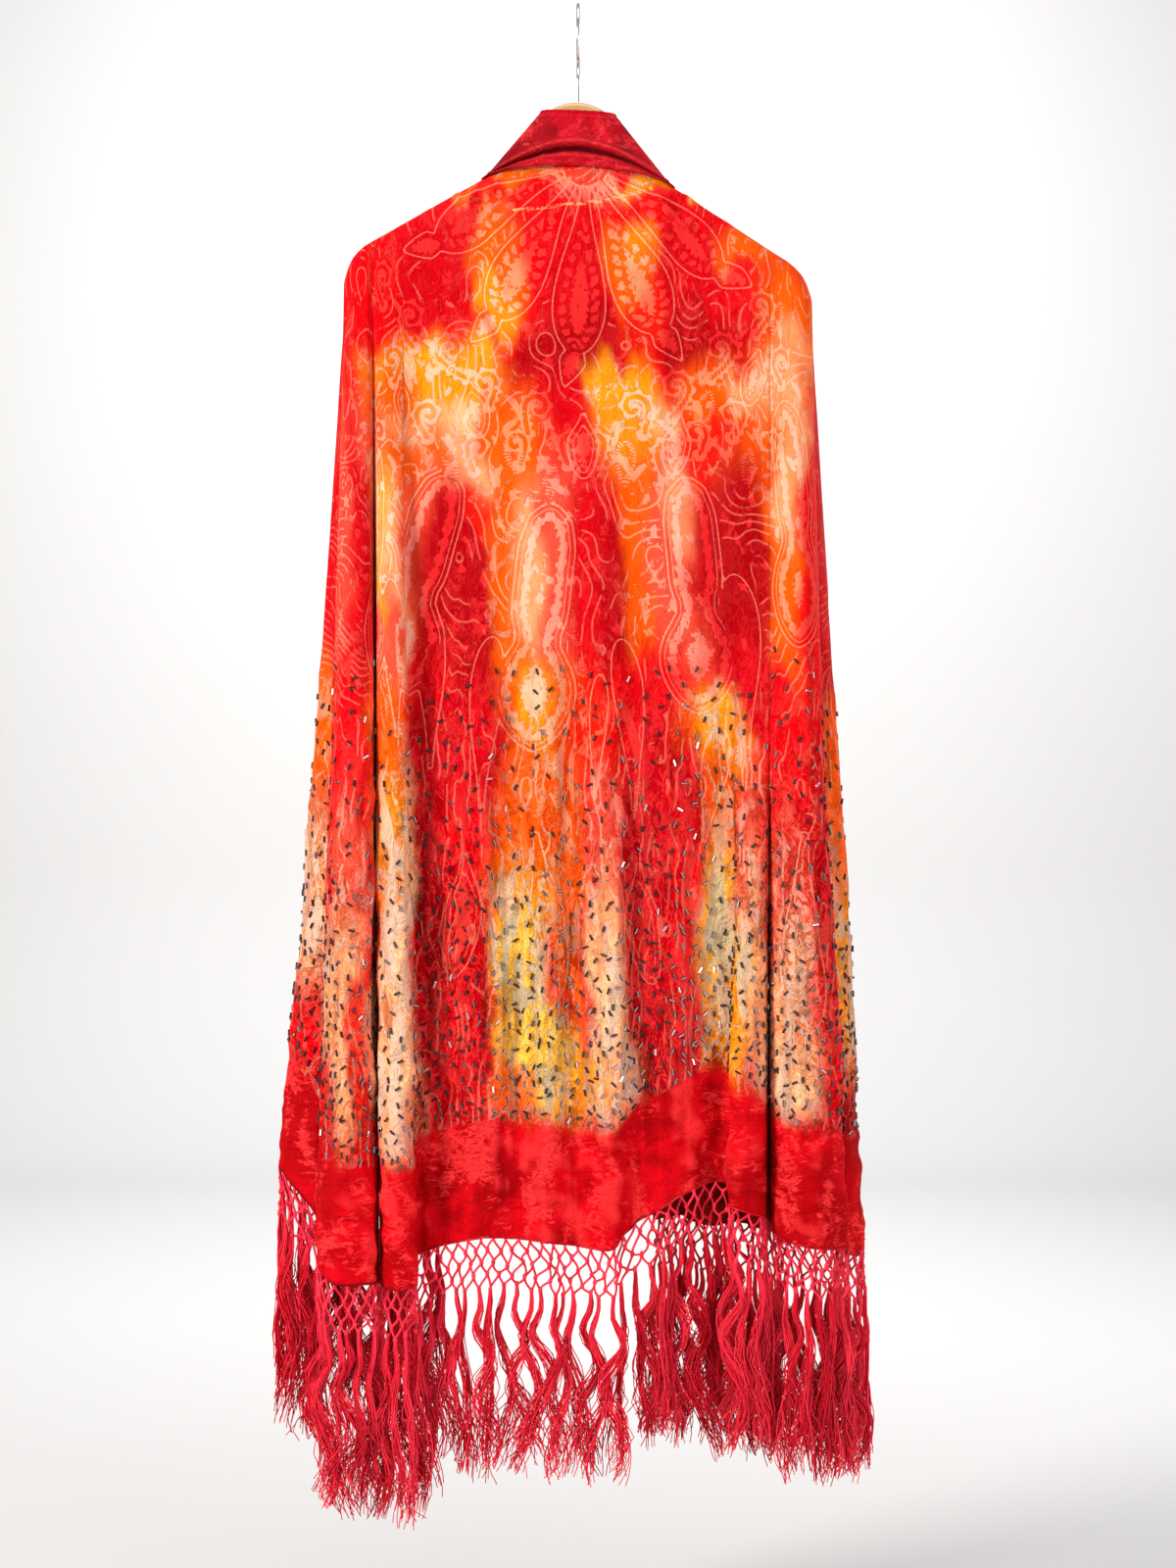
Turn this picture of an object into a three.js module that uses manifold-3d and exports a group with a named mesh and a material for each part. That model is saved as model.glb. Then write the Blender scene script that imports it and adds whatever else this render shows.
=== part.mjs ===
// A fringed velvet shawl hanging from a wooden coat hanger, seen by the wearer's back from -Y.
// Sizes are in millimetres, +Z is up and the origin is where a rail carries the hook.
// The cloth is one sheet of fold lines: each line runs from the hanger's arm down to the hem, and
// smooth curves join the lines across. A wall is that sheet with a second skin inside it.
import * as THREE from "three";
import { mergeVertices } from "three/addons/utils/BufferGeometryUtils.js";
import Module from "manifold-3d";

const wasm = await Module();
wasm.setup();

// Cloth and seams
const CLOTH = 1.6; // thickness of the folded velvet
const SEAM_GAP = 0.3; // between two stretches of the cloth, and between the cloth and its net
const CLEARANCE = 0.8; // between the cloth and the wood inside it

// The top line that the cloth follows over the hanger
const NECK_REACH = 34; // where the band leaves the hanger's middle
const NECK_Z = -103;
const ARM_REACH = 87; // where the steep neck meets the arm
const ARM_Z = -166;
const ARM_SLOPE = 0.607;
const TIP_REACH = 200; // where the arm's top line starts to turn down over the tip
const TIP_RADIUS = 50;
const TIP_ANGLE = Math.atan(ARM_SLOPE);
const SIDE_REACH = TIP_REACH + TIP_RADIUS * (Math.PI / 2 - TIP_ANGLE);
const LEAN = 0.044; // the hanger hangs a little lower on its right

// Half thickness of the dressed hanger: thin at the neck, wide at the shoulder, closed at the side
const NECK_HALF = 10;
const SHOULDER_HALF = 20;
const SIDE_SPAN = 6; // least height over which the mesh turns down at the side

// The cloth's upper edge behind the neck, tucked under the turned-up band
const YOKE_HALF = 20;
const YOKE_DEPTH = 15;
const YOKE_COVER = 6; // how far the edge goes up behind the band at the middle

// The plain front panels, from the open edge out to the side
const LEFT_FRONT = {
  side: -1, folds: 3, edgeX: -140, outerX: -292, edgeZ: -1154, outerZ: -1113, bow: 2,
};
const RIGHT_FRONT = {
  side: 1, folds: 3.5, edgeX: 72, outerX: 279, edgeZ: -1166, outerZ: -1188, bow: 2,
};
const FRONT_PLANE = 46; // how far behind the hanger the fronts' hems hang
const FRONT_FOLD_DEPTH = 23;
const SIDE_FOLD_DEPTH = 16;
const FRONT_LINES_PER_FOLD = 4;

// The front's side, from its last crest round to the side seam
const SIDE_TURN = [
  { name: "last crest", reach: 19, inset: 9, out: 62, drop: 0 },
  { name: "outermost", reach: 12, inset: 0, out: 37, drop: 2 },
  { name: "turning back", reach: 6, inset: 11, out: 13, drop: 12 },
];

// Fold lines of the back, from its left side to its right. reach is the distance along the hanger's
// arm where a line starts, hemX and hemZ are where it ends, out is how far it stands towards the
// viewer there, bow moves its middle sideways, and from is the share of its height where it starts.
const BACK_FOLDS = [
  { name: "left side seam", reach: -SIDE_REACH, hemX: -250, out: 0, hemZ: -1162, bow: 0, from: 0 },
  { name: "left pleat edge", reach: -243, hemX: -250, out: 21, hemZ: -1200, bow: 3, from: 0 },
  { name: "left pleat crest", reach: -224, hemX: -231, out: 43, hemZ: -1216, bow: 0, from: 0 },
  { name: "left pleat shoulder", reach: -209, hemX: -204, out: 40, hemZ: -1217, bow: 0, from: 0 },
  { name: "left groove lip", reach: -201, hemX: -193, out: 30, hemZ: -1217, bow: 0, from: 0 },
  { name: "left groove", reach: -196, hemX: -190, out: 6, hemZ: -1219, bow: 0, from: 0 },
  { name: "second pleat lip", reach: -191, hemX: -186, out: 30, hemZ: -1222, bow: 0, from: 0 },
  { name: "second pleat crest", reach: -181, hemX: -169, out: 45, hemZ: -1222, bow: 0, from: 0.05 },
  { name: "second pleat edge", reach: -171, hemX: -152, out: 36, hemZ: -1217, bow: 0, from: 0.1 },
  { name: "second pleat tuck", reach: -164, hemX: -165, out: 19, hemZ: -1206, bow: 0, from: 0.1 },
  { name: "back starts", reach: -150, hemX: -156, out: 8, hemZ: -1196, bow: 0, from: 0.2 },
  { name: "back ripple 1", reach: -122, hemX: -127, out: 15, hemZ: -1184, bow: 0, from: 0.2 },
  { name: "back ripple 2", reach: -94, hemX: -94, out: 27, hemZ: -1176, bow: 0, from: 0.2 },
  { name: "back slope", reach: -82, hemX: -78, out: 23, hemZ: -1176, bow: 0, from: 0.2 },
  { name: "back ripple 3", reach: -62, hemX: -58, out: 16, hemZ: -1178, bow: 0, from: 0.2 },
  { name: "back ripple 4", reach: -31, hemX: -26, out: 27, hemZ: -1180, bow: 0, from: 0.2 },
  { name: "centre back", reach: 0, hemX: 4, out: 17, hemZ: -1185, bow: 0, from: 0.2 },
  { name: "back ripple 5", reach: 29, hemX: 32, out: 31, hemZ: -1186, bow: 0, from: 0.2 },
  { name: "back ripple 6", reach: 60, hemX: 54, out: 17, hemZ: -1163, bow: 0, from: 0.2 },
  { name: "back rise", reach: 82, hemX: 70, out: 19, hemZ: -1154, bow: 0, from: 0.25 },
  { name: "back ripple 7", reach: 94, hemX: 82, out: 25, hemZ: -1146, bow: 0, from: 0.3 },
  { name: "back ripple 8", reach: 116, hemX: 110, out: 14, hemZ: -1132, bow: 0, from: 0.3 },
  { name: "back ends", reach: 136, hemX: 136, out: 6, hemZ: -1125, bow: 0, from: 0.4 },
  { name: "third pleat tuck", reach: 148, hemX: 149, out: 12, hemZ: -1132, bow: 0, from: 0.6 },
  { name: "third pleat edge", reach: 156, hemX: 140, out: 28, hemZ: -1143, bow: 0, from: 0.62 },
  { name: "third pleat crest", reach: 166, hemX: 156, out: 44, hemZ: -1148, bow: 0, from: 0.58 },
  { name: "third pleat lip", reach: 176, hemX: 174, out: 34, hemZ: -1154, bow: 0, from: 0.5 },
  { name: "right groove", reach: 183, hemX: 182, out: 8, hemZ: -1162, bow: 0, from: 0.5 },
  { name: "right pleat lip", reach: 190, hemX: 189, out: 32, hemZ: -1174, bow: 0, from: 0.3 },
  { name: "right pleat crest", reach: 204, hemX: 211, out: 45, hemZ: -1180, bow: 0, from: 0 },
  { name: "right pleat shoulder", reach: 222, hemX: 237, out: 41, hemZ: -1184, bow: 0, from: 0 },
  { name: "right pleat edge", reach: 242, hemX: 258, out: 22, hemZ: -1186, bow: -6, from: 0 },
  { name: "right side seam", reach: SIDE_REACH, hemX: 248, out: 0, hemZ: -1182, bow: 0, from: 0 },
];

// Mesh steps
const STEPS_PER_FOLD = 2; // columns between two fold lines
const DROPS_OVER_ARM = [0, 0.12, 0.45, 1]; // shares of the half thickness, over the top of the arm
const ROWS_DOWN = 11;
const ROWS = DROPS_OVER_ARM.length + ROWS_DOWN;

// The plain band turned up behind the neck: its upright section, top edge first
const BAND_ROWS = [
  { name: "top edge", share: 0, out: 0 },
  { name: "stitch line", share: 0.1, out: 0.8 },
  { name: "middle", share: 0.35, out: 1 },
  { name: "above the roll", share: 0.56, out: 3.5 },
  { name: "roll", share: 0.66, out: 7.5 },
  { name: "under the roll", share: 0.73, out: 1.5 },
  { name: "hollow", share: 0.82, out: 0.6 },
  { name: "lower roll", share: 0.92, out: 4 },
  { name: "lower edge", share: 1, out: 1.5 },
];
const BAND_TOP = { halfWidth: 36, depth: 15, z: -103 };
const BAND_FOOT = { halfWidth: 93, depth: 24, z: -156.6 };
const BAND_ABOVE_ARM = 3;
const OVAL_POWER = 0.7; // fuller than an ellipse in plan
const BAND_COLUMNS = 22;

// Knotted net and fringe
const NET_DROP = 56;
const TASSEL_DROP = 176;
const TASSEL_SIDES = 3;
const TASSEL_PITCH = 9;
const TASSEL_APART = 6; // a lock is left out where its root would come nearer than this to another
const TASSEL_LEVELS = [
  { share: 0, radius: 0.6 },
  { share: 0.12, radius: 2.2 },
  { share: 0.55, radius: 2.2 },
  { share: 1, radius: 0.8 },
];
const TASSEL_SWAY = 5;
const TASSEL_ROOT = 4; // how far a lock starts inside the net's lower edge

// Hanger
const WOOD_HALF_LENGTH = 214;
const WOOD_STATIONS = 34;
const DOME_Z = -91;
const DOME_RADIUS = 46;
const WOOD_HALF_NECK = 6;
const WOOD_HALF_TIP = 16;
const WOOD_ROUND_FROM = 186; // where the arms' ends start to round off
const WOOD_ROUND_OVER = 31;
const WOOD_DEPTH_NECK = 40;
const WOOD_DEPTH_TIP = 24;
const WOOD_ARC_STEPS = 8;
const WIRE_RADIUS = 1.7;
const HOOK_RADIUS = 31; // to the wire's middle
const HOOK_START = -58; // degrees round the hook, from its tip
const HOOK_TURN = 268;
const SHANK_IN_WOOD = 12;
const SHANK_HOLE = 2.1;
const WIRE_SIDES = 10;
const WIRE_STEPS = 32;

const lerp = THREE.MathUtils.lerp;
const smooth = (low, high, x) => THREE.MathUtils.smoothstep(x, low, high);

// Height and sideways place of the top line at a distance along the arm, for a level hanger.
function levelTopLine(reach) {
  const away = Math.abs(reach);
  const side = Math.sign(reach);
  if (away <= ARM_REACH) {
    return { x: reach, z: lerp(NECK_Z, ARM_Z, (away - NECK_REACH) / (ARM_REACH - NECK_REACH)) };
  }
  if (away <= TIP_REACH) return { x: reach, z: ARM_Z - ARM_SLOPE * (away - ARM_REACH) };
  const angle = TIP_ANGLE + (away - TIP_REACH) / TIP_RADIUS;
  const tipZ = ARM_Z - ARM_SLOPE * (TIP_REACH - ARM_REACH);
  return {
    x: side * (TIP_REACH + TIP_RADIUS * (Math.sin(angle) - Math.sin(TIP_ANGLE))),
    z: tipZ - TIP_RADIUS * (Math.cos(TIP_ANGLE) - Math.cos(angle)),
  };
}

function topLine(reach) {
  const level = levelTopLine(reach);
  return { x: level.x, z: level.z - LEAN * level.x };
}

// Half thickness of the dressed hanger at a distance along the arm.
function halfThickness(reach) {
  const away = Math.abs(reach);
  if (away <= TIP_REACH) return lerp(NECK_HALF, SHOULDER_HALF, away / TIP_REACH);
  const past = Math.min(1, (away - TIP_REACH) / (SIDE_REACH - TIP_REACH));
  return SHOULDER_HALF * Math.sqrt(1 - past * past);
}

// Share of the band's depth that is left at a distance from the middle of the back.
function ovalShare(reach) {
  const share = Math.min(1, Math.abs(reach) / BAND_FOOT.halfWidth);
  return Math.pow(1 - share * share, OVAL_POWER / 2);
}

// Everything that a fold line needs, for the back (facing -1) or a front (facing +1).
function foldLine(row, facing) {
  const top = topLine(row.reach);
  const oval = facing < 0 ? ovalShare(row.reach) : 0;
  const half = lerp(halfThickness(row.reach), YOKE_HALF, oval);
  const startDepth = oval > 0 ? YOKE_DEPTH * oval : 0;
  const share = row.reach / BAND_FOOT.halfWidth;
  const bandFoot = lerp(BAND_FOOT.z, levelTopLine(BAND_FOOT.halfWidth).z, share * share);
  const yokeZ = bandFoot + YOKE_COVER * oval * oval - LEAN * row.reach;
  return {
    reach: row.reach,
    x: top.x,
    z: oval > 0 ? yokeZ : top.z,
    half,
    span: Math.max(half, SIDE_SPAN),
    startDrop: half - Math.sqrt(half * half - startDepth * startDepth),
    facing,
    hemX: row.hemX,
    hemY: facing * row.out,
    hemZ: row.hemZ,
    bow: row.bow,
    from: row.from,
  };
}

// A point on a fold line, at a row of the mesh: first over the arm, then down to the hem.
function pointOnLine(line, row) {
  const overArm = DROPS_OVER_ARM.length - 1;
  const fullDrop = line.z - line.hemZ;
  const firstDrop = line.span - line.startDrop;
  const drop =
    row <= overArm
      ? firstDrop * DROPS_OVER_ARM[row]
      : lerp(firstDrop, fullDrop, Math.pow((row - overArm) / ROWS_DOWN, 1.15));
  const share = drop / fullDrop;
  const left = Math.max(0, 1 - (line.startDrop + drop) / line.span);
  const arc = line.half * Math.sqrt(1 - left * left);
  const started = Math.max(0, (share - line.from) / (1 - line.from));
  const grown = 1 - Math.pow(1 - started, 1.8);
  return new THREE.Vector3(
    lerp(line.x, line.hemX, share) + line.bow * 4 * share * (1 - share),
    line.facing * arc + (line.hemY - line.facing * line.half) * grown,
    line.z - drop,
  );
}

// A front panel's lines, from its open edge out to the side, folded in even waves. The last crest
// stands away from the back, and the panel's side turns back from it to the side seam.
function frontLines(panel) {
  const lines = [];
  const count = Math.round(panel.folds * FRONT_LINES_PER_FOLD);
  const inset = panel.side * SIDE_TURN[0].inset;
  for (let i = 0; i <= count; i++) {
    const share = i / count;
    const wave = Math.cos(2 * Math.PI * panel.folds * (1 - share));
    const depth = lerp(FRONT_FOLD_DEPTH, SIDE_FOLD_DEPTH, share);
    lines.push(
      foldLine(
        {
          reach: panel.side * lerp(NECK_REACH, SIDE_REACH - SIDE_TURN[0].reach, share),
          hemX: lerp(panel.edgeX, panel.outerX - inset, share),
          out: FRONT_PLANE + depth * wave,
          hemZ: lerp(panel.edgeZ, panel.outerZ, share),
          bow: panel.bow * share,
          from: 0.05,
        },
        1,
      ),
    );
  }
  for (const turn of SIDE_TURN.slice(1)) {
    lines.push(
      foldLine(
        {
          reach: panel.side * (SIDE_REACH - turn.reach),
          hemX: panel.outerX - panel.side * turn.inset,
          out: turn.out,
          hemZ: panel.outerZ - turn.drop,
          bow: panel.bow,
          from: 0.02,
        },
        1,
      ),
    );
  }
  return lines;
}

// Uniform Catmull-Rom weights of four neighbours.
function weights(t) {
  return [
    0.5 * (-t + 2 * t * t - t * t * t),
    0.5 * (2 - 5 * t * t + 3 * t * t * t),
    0.5 * (t + 4 * t * t - 3 * t * t * t),
    0.5 * (-t * t + t * t * t),
  ];
}

// Four neighbouring lines round a place across the sheet (0 is the first line), with their weights.
function neighbours(lines, across) {
  const first = Math.min(Math.floor(across), lines.length - 2);
  return weights(across - first).map((weight, k) => {
    const at = Math.min(Math.max(first + k - 1, 0), lines.length - 1);
    return { line: lines[at], weight };
  });
}

// Columns of the sheet between two places across it: their points down, and the arm's normal there.
function sheetColumns(lines, start, end, count) {
  const columns = [];
  for (let c = 0; c <= count; c++) {
    const near = neighbours(lines, lerp(start, end, c / count));
    const reach = near.reduce((sum, { line, weight }) => sum + line.reach * weight, 0);
    const points = [];
    for (let r = 0; r < ROWS; r++) {
      const point = new THREE.Vector3();
      for (const { line, weight } of near) point.addScaledVector(pointOnLine(line, r), weight);
      points.push(point);
    }
    columns.push({ points, reach });
  }
  return columns;
}

// The arm's outward normal at a distance along it.
function armNormal(reach) {
  const before = topLine(Math.max(reach - 0.5, -SIDE_REACH));
  const after = topLine(Math.min(reach + 0.5, SIDE_REACH));
  return new THREE.Vector3(before.z - after.z, 0, after.x - before.x).normalize();
}

// Unit normals of a grid whose rows run down and whose columns run left to right as seen from outside.
function gridNormals(grid) {
  const down = new THREE.Vector3();
  const right = new THREE.Vector3();
  return grid.map((row, r) =>
    row.map((_, c) => {
      down.subVectors(grid[Math.min(r + 1, grid.length - 1)][c], grid[Math.max(r - 1, 0)][c]);
      right.subVectors(row[Math.min(c + 1, row.length - 1)], row[Math.max(c - 1, 0)]);
      return new THREE.Vector3().crossVectors(down, right).normalize();
    }),
  );
}

// A closed wall: the outer grid, an inner grid and the four rims.
function wallGeometry(outer, inner) {
  const rows = outer.length;
  const columns = outer[0].length;
  const positions = [];
  for (const skin of [outer, inner]) {
    for (const row of skin) for (const p of row) positions.push(p.x, p.y, p.z);
  }
  const out = (r, c) => r * columns + c;
  const inn = (r, c) => rows * columns + r * columns + c;
  const index = [];
  const quad = (a, b, c, d) => index.push(a, b, c, a, c, d);
  for (let r = 0; r < rows - 1; r++) {
    for (let c = 0; c < columns - 1; c++) {
      quad(out(r, c), out(r + 1, c), out(r + 1, c + 1), out(r, c + 1));
      quad(inn(r, c), inn(r, c + 1), inn(r + 1, c + 1), inn(r + 1, c));
    }
    quad(out(r, 0), inn(r, 0), inn(r + 1, 0), out(r + 1, 0));
    quad(out(r, columns - 1), out(r + 1, columns - 1), inn(r + 1, columns - 1), inn(r, columns - 1));
  }
  for (let c = 0; c < columns - 1; c++) {
    quad(out(0, c), out(0, c + 1), inn(0, c + 1), inn(0, c));
    quad(out(rows - 1, c), inn(rows - 1, c), inn(rows - 1, c + 1), out(rows - 1, c + 1));
  }
  const geometry = new THREE.BufferGeometry();
  geometry.setAttribute("position", new THREE.Float32BufferAttribute(positions, 3));
  geometry.setIndex(index);
  return geometry;
}

// The wall of one stretch: its inner skin is the outer one moved in along the whole sheet's normals.
function clothWall(grid, normals, first, last) {
  const outer = grid.map((row) => row.slice(first, last + 1).map((p) => p.clone()));
  const inner = outer.map((row, r) =>
    row.map((p, c) => p.clone().addScaledVector(normals[r][first + c], -CLOTH)),
  );
  return { outer, inner };
}

// Draws a wall's column, and its top row, back from the half of the cloth on the other side.
function openSeam(wall, column, facing) {
  for (const skin of [wall.outer, wall.inner]) {
    for (const row of skin) row[column].y += (facing * SEAM_GAP) / 2;
  }
}

function openTop(wall, facing) {
  for (const skin of [wall.outer, wall.inner]) {
    for (const p of skin[0]) p.y = facing * Math.max(facing * p.y, SEAM_GAP / 2);
  }
}

function fabric(colour, roughness) {
  return new THREE.MeshStandardMaterial({ color: colour, roughness, metalness: 0 });
}

function part(name, geometry, material) {
  const mesh = new THREE.Mesh(geometry, material);
  mesh.name = name;
  return mesh;
}

// Turns a closed geometry into a manifold-3d solid.
function solid(geometry) {
  const bare = geometry.clone();
  bare.deleteAttribute("normal");
  bare.deleteAttribute("uv");
  const merged = mergeVertices(bare, 1e-4);
  return new wasm.Manifold(
    new wasm.Mesh({
      numProp: 3,
      vertProperties: new Float32Array(merged.attributes.position.array),
      triVerts: new Uint32Array(merged.index.array),
    }),
  );
}

function geometryOf(manifold) {
  const mesh = manifold.getMesh();
  const geometry = new THREE.BufferGeometry();
  geometry.setAttribute("position", new THREE.BufferAttribute(mesh.vertProperties, 3));
  geometry.setIndex(new THREE.BufferAttribute(mesh.triVerts, 1));
  return geometry;
}

// A closed tube of rings, each a list of points, with flat or pointed ends.
function ringSolid(rings) {
  const sides = rings[0].length;
  const positions = rings.flat().flatMap((p) => [p.x, p.y, p.z]);
  const index = [];
  for (let r = 0; r < rings.length - 1; r++) {
    for (let s = 0; s < sides; s++) {
      const a = r * sides + s;
      const b = r * sides + ((s + 1) % sides);
      index.push(a, b, b + sides, a, b + sides, a + sides);
    }
  }
  const last = (rings.length - 1) * sides;
  for (let s = 1; s < sides - 1; s++) {
    index.push(0, s + 1, s);
    index.push(last, last + s, last + s + 1);
  }
  const geometry = new THREE.BufferGeometry();
  geometry.setAttribute("position", new THREE.Float32BufferAttribute(positions, 3));
  geometry.setIndex(index);
  return geometry;
}

// One lock of the fringe: a thin tapering prism that sways as it falls.
function tassel(root) {
  const phase = 0.03 * root.x + 0.02 * root.y;
  const rings = TASSEL_LEVELS.map(({ share, radius }) => {
    const sway = TASSEL_SWAY * share * Math.sin(phase + 4.2 * share);
    const centre = new THREE.Vector3(
      root.x + 0.9 * sway,
      root.y + 0.3 * sway,
      root.z + TASSEL_ROOT - (TASSEL_DROP + TASSEL_ROOT) * share,
    );
    const ring = [];
    for (let s = 0; s < TASSEL_SIDES; s++) {
      const angle = (-2 * Math.PI * s) / TASSEL_SIDES;
      const out = new THREE.Vector3(Math.cos(angle), Math.sin(angle), 0);
      ring.push(out.multiplyScalar(radius).add(centre));
    }
    return ring;
  });
  return ringSolid(rings);
}

// The net below a wall's hem, as an uncut strip, with the fringe's locks fused to its lower edge.
function fringeBelow(wall) {
  const lower = (skin, fall) => skin[ROWS - 1].map((p) => p.clone().setZ(p.z - SEAM_GAP - fall));
  const outer = [lower(wall.outer, 0), lower(wall.outer, NET_DROP)];
  const inner = [lower(wall.inner, 0), lower(wall.inner, NET_DROP)];
  const middle = outer[1].map((p, c) => p.clone().lerp(inner[1][c], 0.5));
  const pieces = [solid(wallGeometry(outer, inner))];
  const roots = [];
  const edge = new THREE.CurvePath();
  for (let c = 0; c < middle.length - 1; c++) edge.add(new THREE.LineCurve3(middle[c], middle[c + 1]));
  const length = edge.getLength();
  const count = Math.floor(length / TASSEL_PITCH);
  for (let i = 0; i < count; i++) {
    const root = edge.getPoint((i + 0.5) / count);
    const clear = roots.every((other) => Math.hypot(other.x - root.x, other.y - root.y) > TASSEL_APART);
    if (!clear) continue;
    pieces.push(solid(tassel(root)));
    roots.push(root);
  }
  return geometryOf(wasm.Manifold.union(pieces));
}

// The band behind the neck: half an oval in plan that widens downwards, with its horizontal rolls.
// Its two ends follow the arms' top lines.
function neckBand() {
  const outer = BAND_ROWS.map(({ share, out }) => {
    const halfWidth = lerp(BAND_TOP.halfWidth, BAND_FOOT.halfWidth, share);
    const depth = lerp(BAND_TOP.depth, BAND_FOOT.depth, Math.min(1, share * 1.6)) + out;
    const middleZ = lerp(BAND_TOP.z, BAND_FOOT.z, share);
    const endZ = levelTopLine(halfWidth).z + BAND_ABOVE_ARM;
    const row = [];
    for (let c = 0; c <= BAND_COLUMNS; c++) {
      const across = Math.sin(lerp(-Math.PI / 2, Math.PI / 2, c / BAND_COLUMNS));
      const y = -depth * Math.pow(1 - across * across, OVAL_POWER / 2);
      const z = lerp(middleZ, endZ, across * across) - LEAN * across * halfWidth;
      row.push(new THREE.Vector3(across * halfWidth, Math.min(y, -SEAM_GAP), z));
    }
    return row;
  });
  const normals = gridNormals(outer);
  const inner = outer.map((row, r) =>
    row.map((p, c) => {
      const moved = p.clone().addScaledVector(normals[r][c], -CLOTH);
      moved.y = Math.min(moved.y, -SEAM_GAP);
      return moved;
    }),
  );
  return wallGeometry(outer, inner);
}

// Height and steepness of a level arm's top line at a sideways distance from the middle.
function armTopAt(x) {
  if (x <= ARM_REACH) {
    return { z: levelTopLine(x).z, steep: (NECK_Z - ARM_Z) / (ARM_REACH - NECK_REACH) };
  }
  if (x <= TIP_REACH) return { z: levelTopLine(x).z, steep: ARM_SLOPE };
  const angle = Math.asin(Math.min(1, (x - TIP_REACH) / TIP_RADIUS + Math.sin(TIP_ANGLE)));
  const reach = TIP_REACH + TIP_RADIUS * (angle - TIP_ANGLE);
  return { z: levelTopLine(reach).z, steep: Math.tan(angle) };
}

// The wooden hanger: upright sections with a round top, set inside the cloth along its arms.
function hangerWood() {
  const rings = [];
  for (let i = 0; i <= WOOD_STATIONS; i++) {
    const x = lerp(-WOOD_HALF_LENGTH, WOOD_HALF_LENGTH, i / WOOD_STATIONS);
    const away = Math.abs(x);
    const arm = armTopAt(away);
    const underCloth = arm.z - (CLOTH + CLEARANCE) * Math.hypot(1, arm.steep);
    const dome = DOME_Z - DOME_RADIUS + Math.sqrt(Math.max(0, DOME_RADIUS * DOME_RADIUS - x * x));
    const top = (away < NECK_REACH ? dome : Math.min(underCloth, dome)) - LEAN * x;
    const end = Math.sqrt(1 - Math.pow(Math.max(0, away - WOOD_ROUND_FROM) / WOOD_ROUND_OVER, 2));
    const half = lerp(WOOD_HALF_NECK, WOOD_HALF_TIP, smooth(BAND_FOOT.halfWidth, TIP_REACH, away)) * end;
    const depth = lerp(WOOD_DEPTH_NECK, WOOD_DEPTH_TIP, away / WOOD_HALF_LENGTH) * lerp(0.6, 1, end);
    const ring = [];
    for (let s = 0; s <= WOOD_ARC_STEPS; s++) {
      const angle = (Math.PI * s) / WOOD_ARC_STEPS;
      ring.push(new THREE.Vector3(x, half * Math.cos(angle), top - half + half * Math.sin(angle)));
    }
    ring.push(new THREE.Vector3(x, -half * 0.8, top - depth));
    ring.push(new THREE.Vector3(x, half * 0.8, top - depth));
    rings.push(ring);
  }
  const hole = new THREE.CylinderGeometry(SHANK_HOLE, SHANK_HOLE, SHANK_IN_WOOD * 2, WIRE_SIDES);
  hole.rotateX(Math.PI / 2).translate(0, 0, DOME_Z);
  return geometryOf(solid(ringSolid(rings)).subtract(solid(hole)));
}

// The wire hook, seen edge on from the back: a straight shank and a round hook in the Y-Z plane.
function hangerHook() {
  const bearing = HOOK_RADIUS - WIRE_RADIUS; // inside radius, which rests on the rail at the origin
  const centreZ = -bearing;
  const points = [];
  const turns = 18;
  for (let i = 0; i <= turns; i++) {
    const angle = THREE.MathUtils.degToRad(HOOK_START + (HOOK_TURN * i) / turns);
    points.push(
      new THREE.Vector3(0, -HOOK_RADIUS * Math.cos(angle), centreZ + HOOK_RADIUS * Math.sin(angle)),
    );
  }
  const last = points[points.length - 1];
  points.push(new THREE.Vector3(0, last.y * 0.42, last.z - 7));
  points.push(new THREE.Vector3(0, 0, last.z - 20));
  points.push(new THREE.Vector3(0, 0, (last.z - 20 + DOME_Z) / 2));
  points.push(new THREE.Vector3(0, 0, DOME_Z - SHANK_IN_WOOD + SEAM_GAP));
  const section = new THREE.Shape();
  section.absarc(0, 0, WIRE_RADIUS, 0, 2 * Math.PI, false);
  return new THREE.ExtrudeGeometry(section, {
    curveSegments: WIRE_SIDES / 2,
    steps: WIRE_STEPS,
    extrudePath: new THREE.CatmullRomCurve3(points, false, "centripetal"),
  });
}

// The whole sheet of the cloth, cut into its stretches
const leftFront = frontLines(LEFT_FRONT);
const rightFront = frontLines(RIGHT_FRONT).reverse();
const back = BACK_FOLDS.map((row) => foldLine(row, -1));
const lines = [...leftFront, ...back, ...rightFront];

const leftColumns = leftFront.length * STEPS_PER_FOLD;
const backColumns = (back.length - 1) * STEPS_PER_FOLD;
const rightColumns = rightFront.length * STEPS_PER_FOLD;
const backStart = leftFront.length;
const backEnd = backStart + back.length - 1;
const columns = [
  ...sheetColumns(lines, 0, backStart, leftColumns),
  ...sheetColumns(lines, backStart, backEnd, backColumns).slice(1),
  ...sheetColumns(lines, backEnd, lines.length - 1, rightColumns).slice(1),
];
const grid = [];
for (let r = 0; r < ROWS; r++) grid.push(columns.map((column) => column.points[r]));
const normals = gridNormals(grid);
columns.forEach(({ reach, points }, c) => {
  if (Math.abs(points[0].y) < 1) normals[0][c].copy(armNormal(reach));
});

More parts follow.
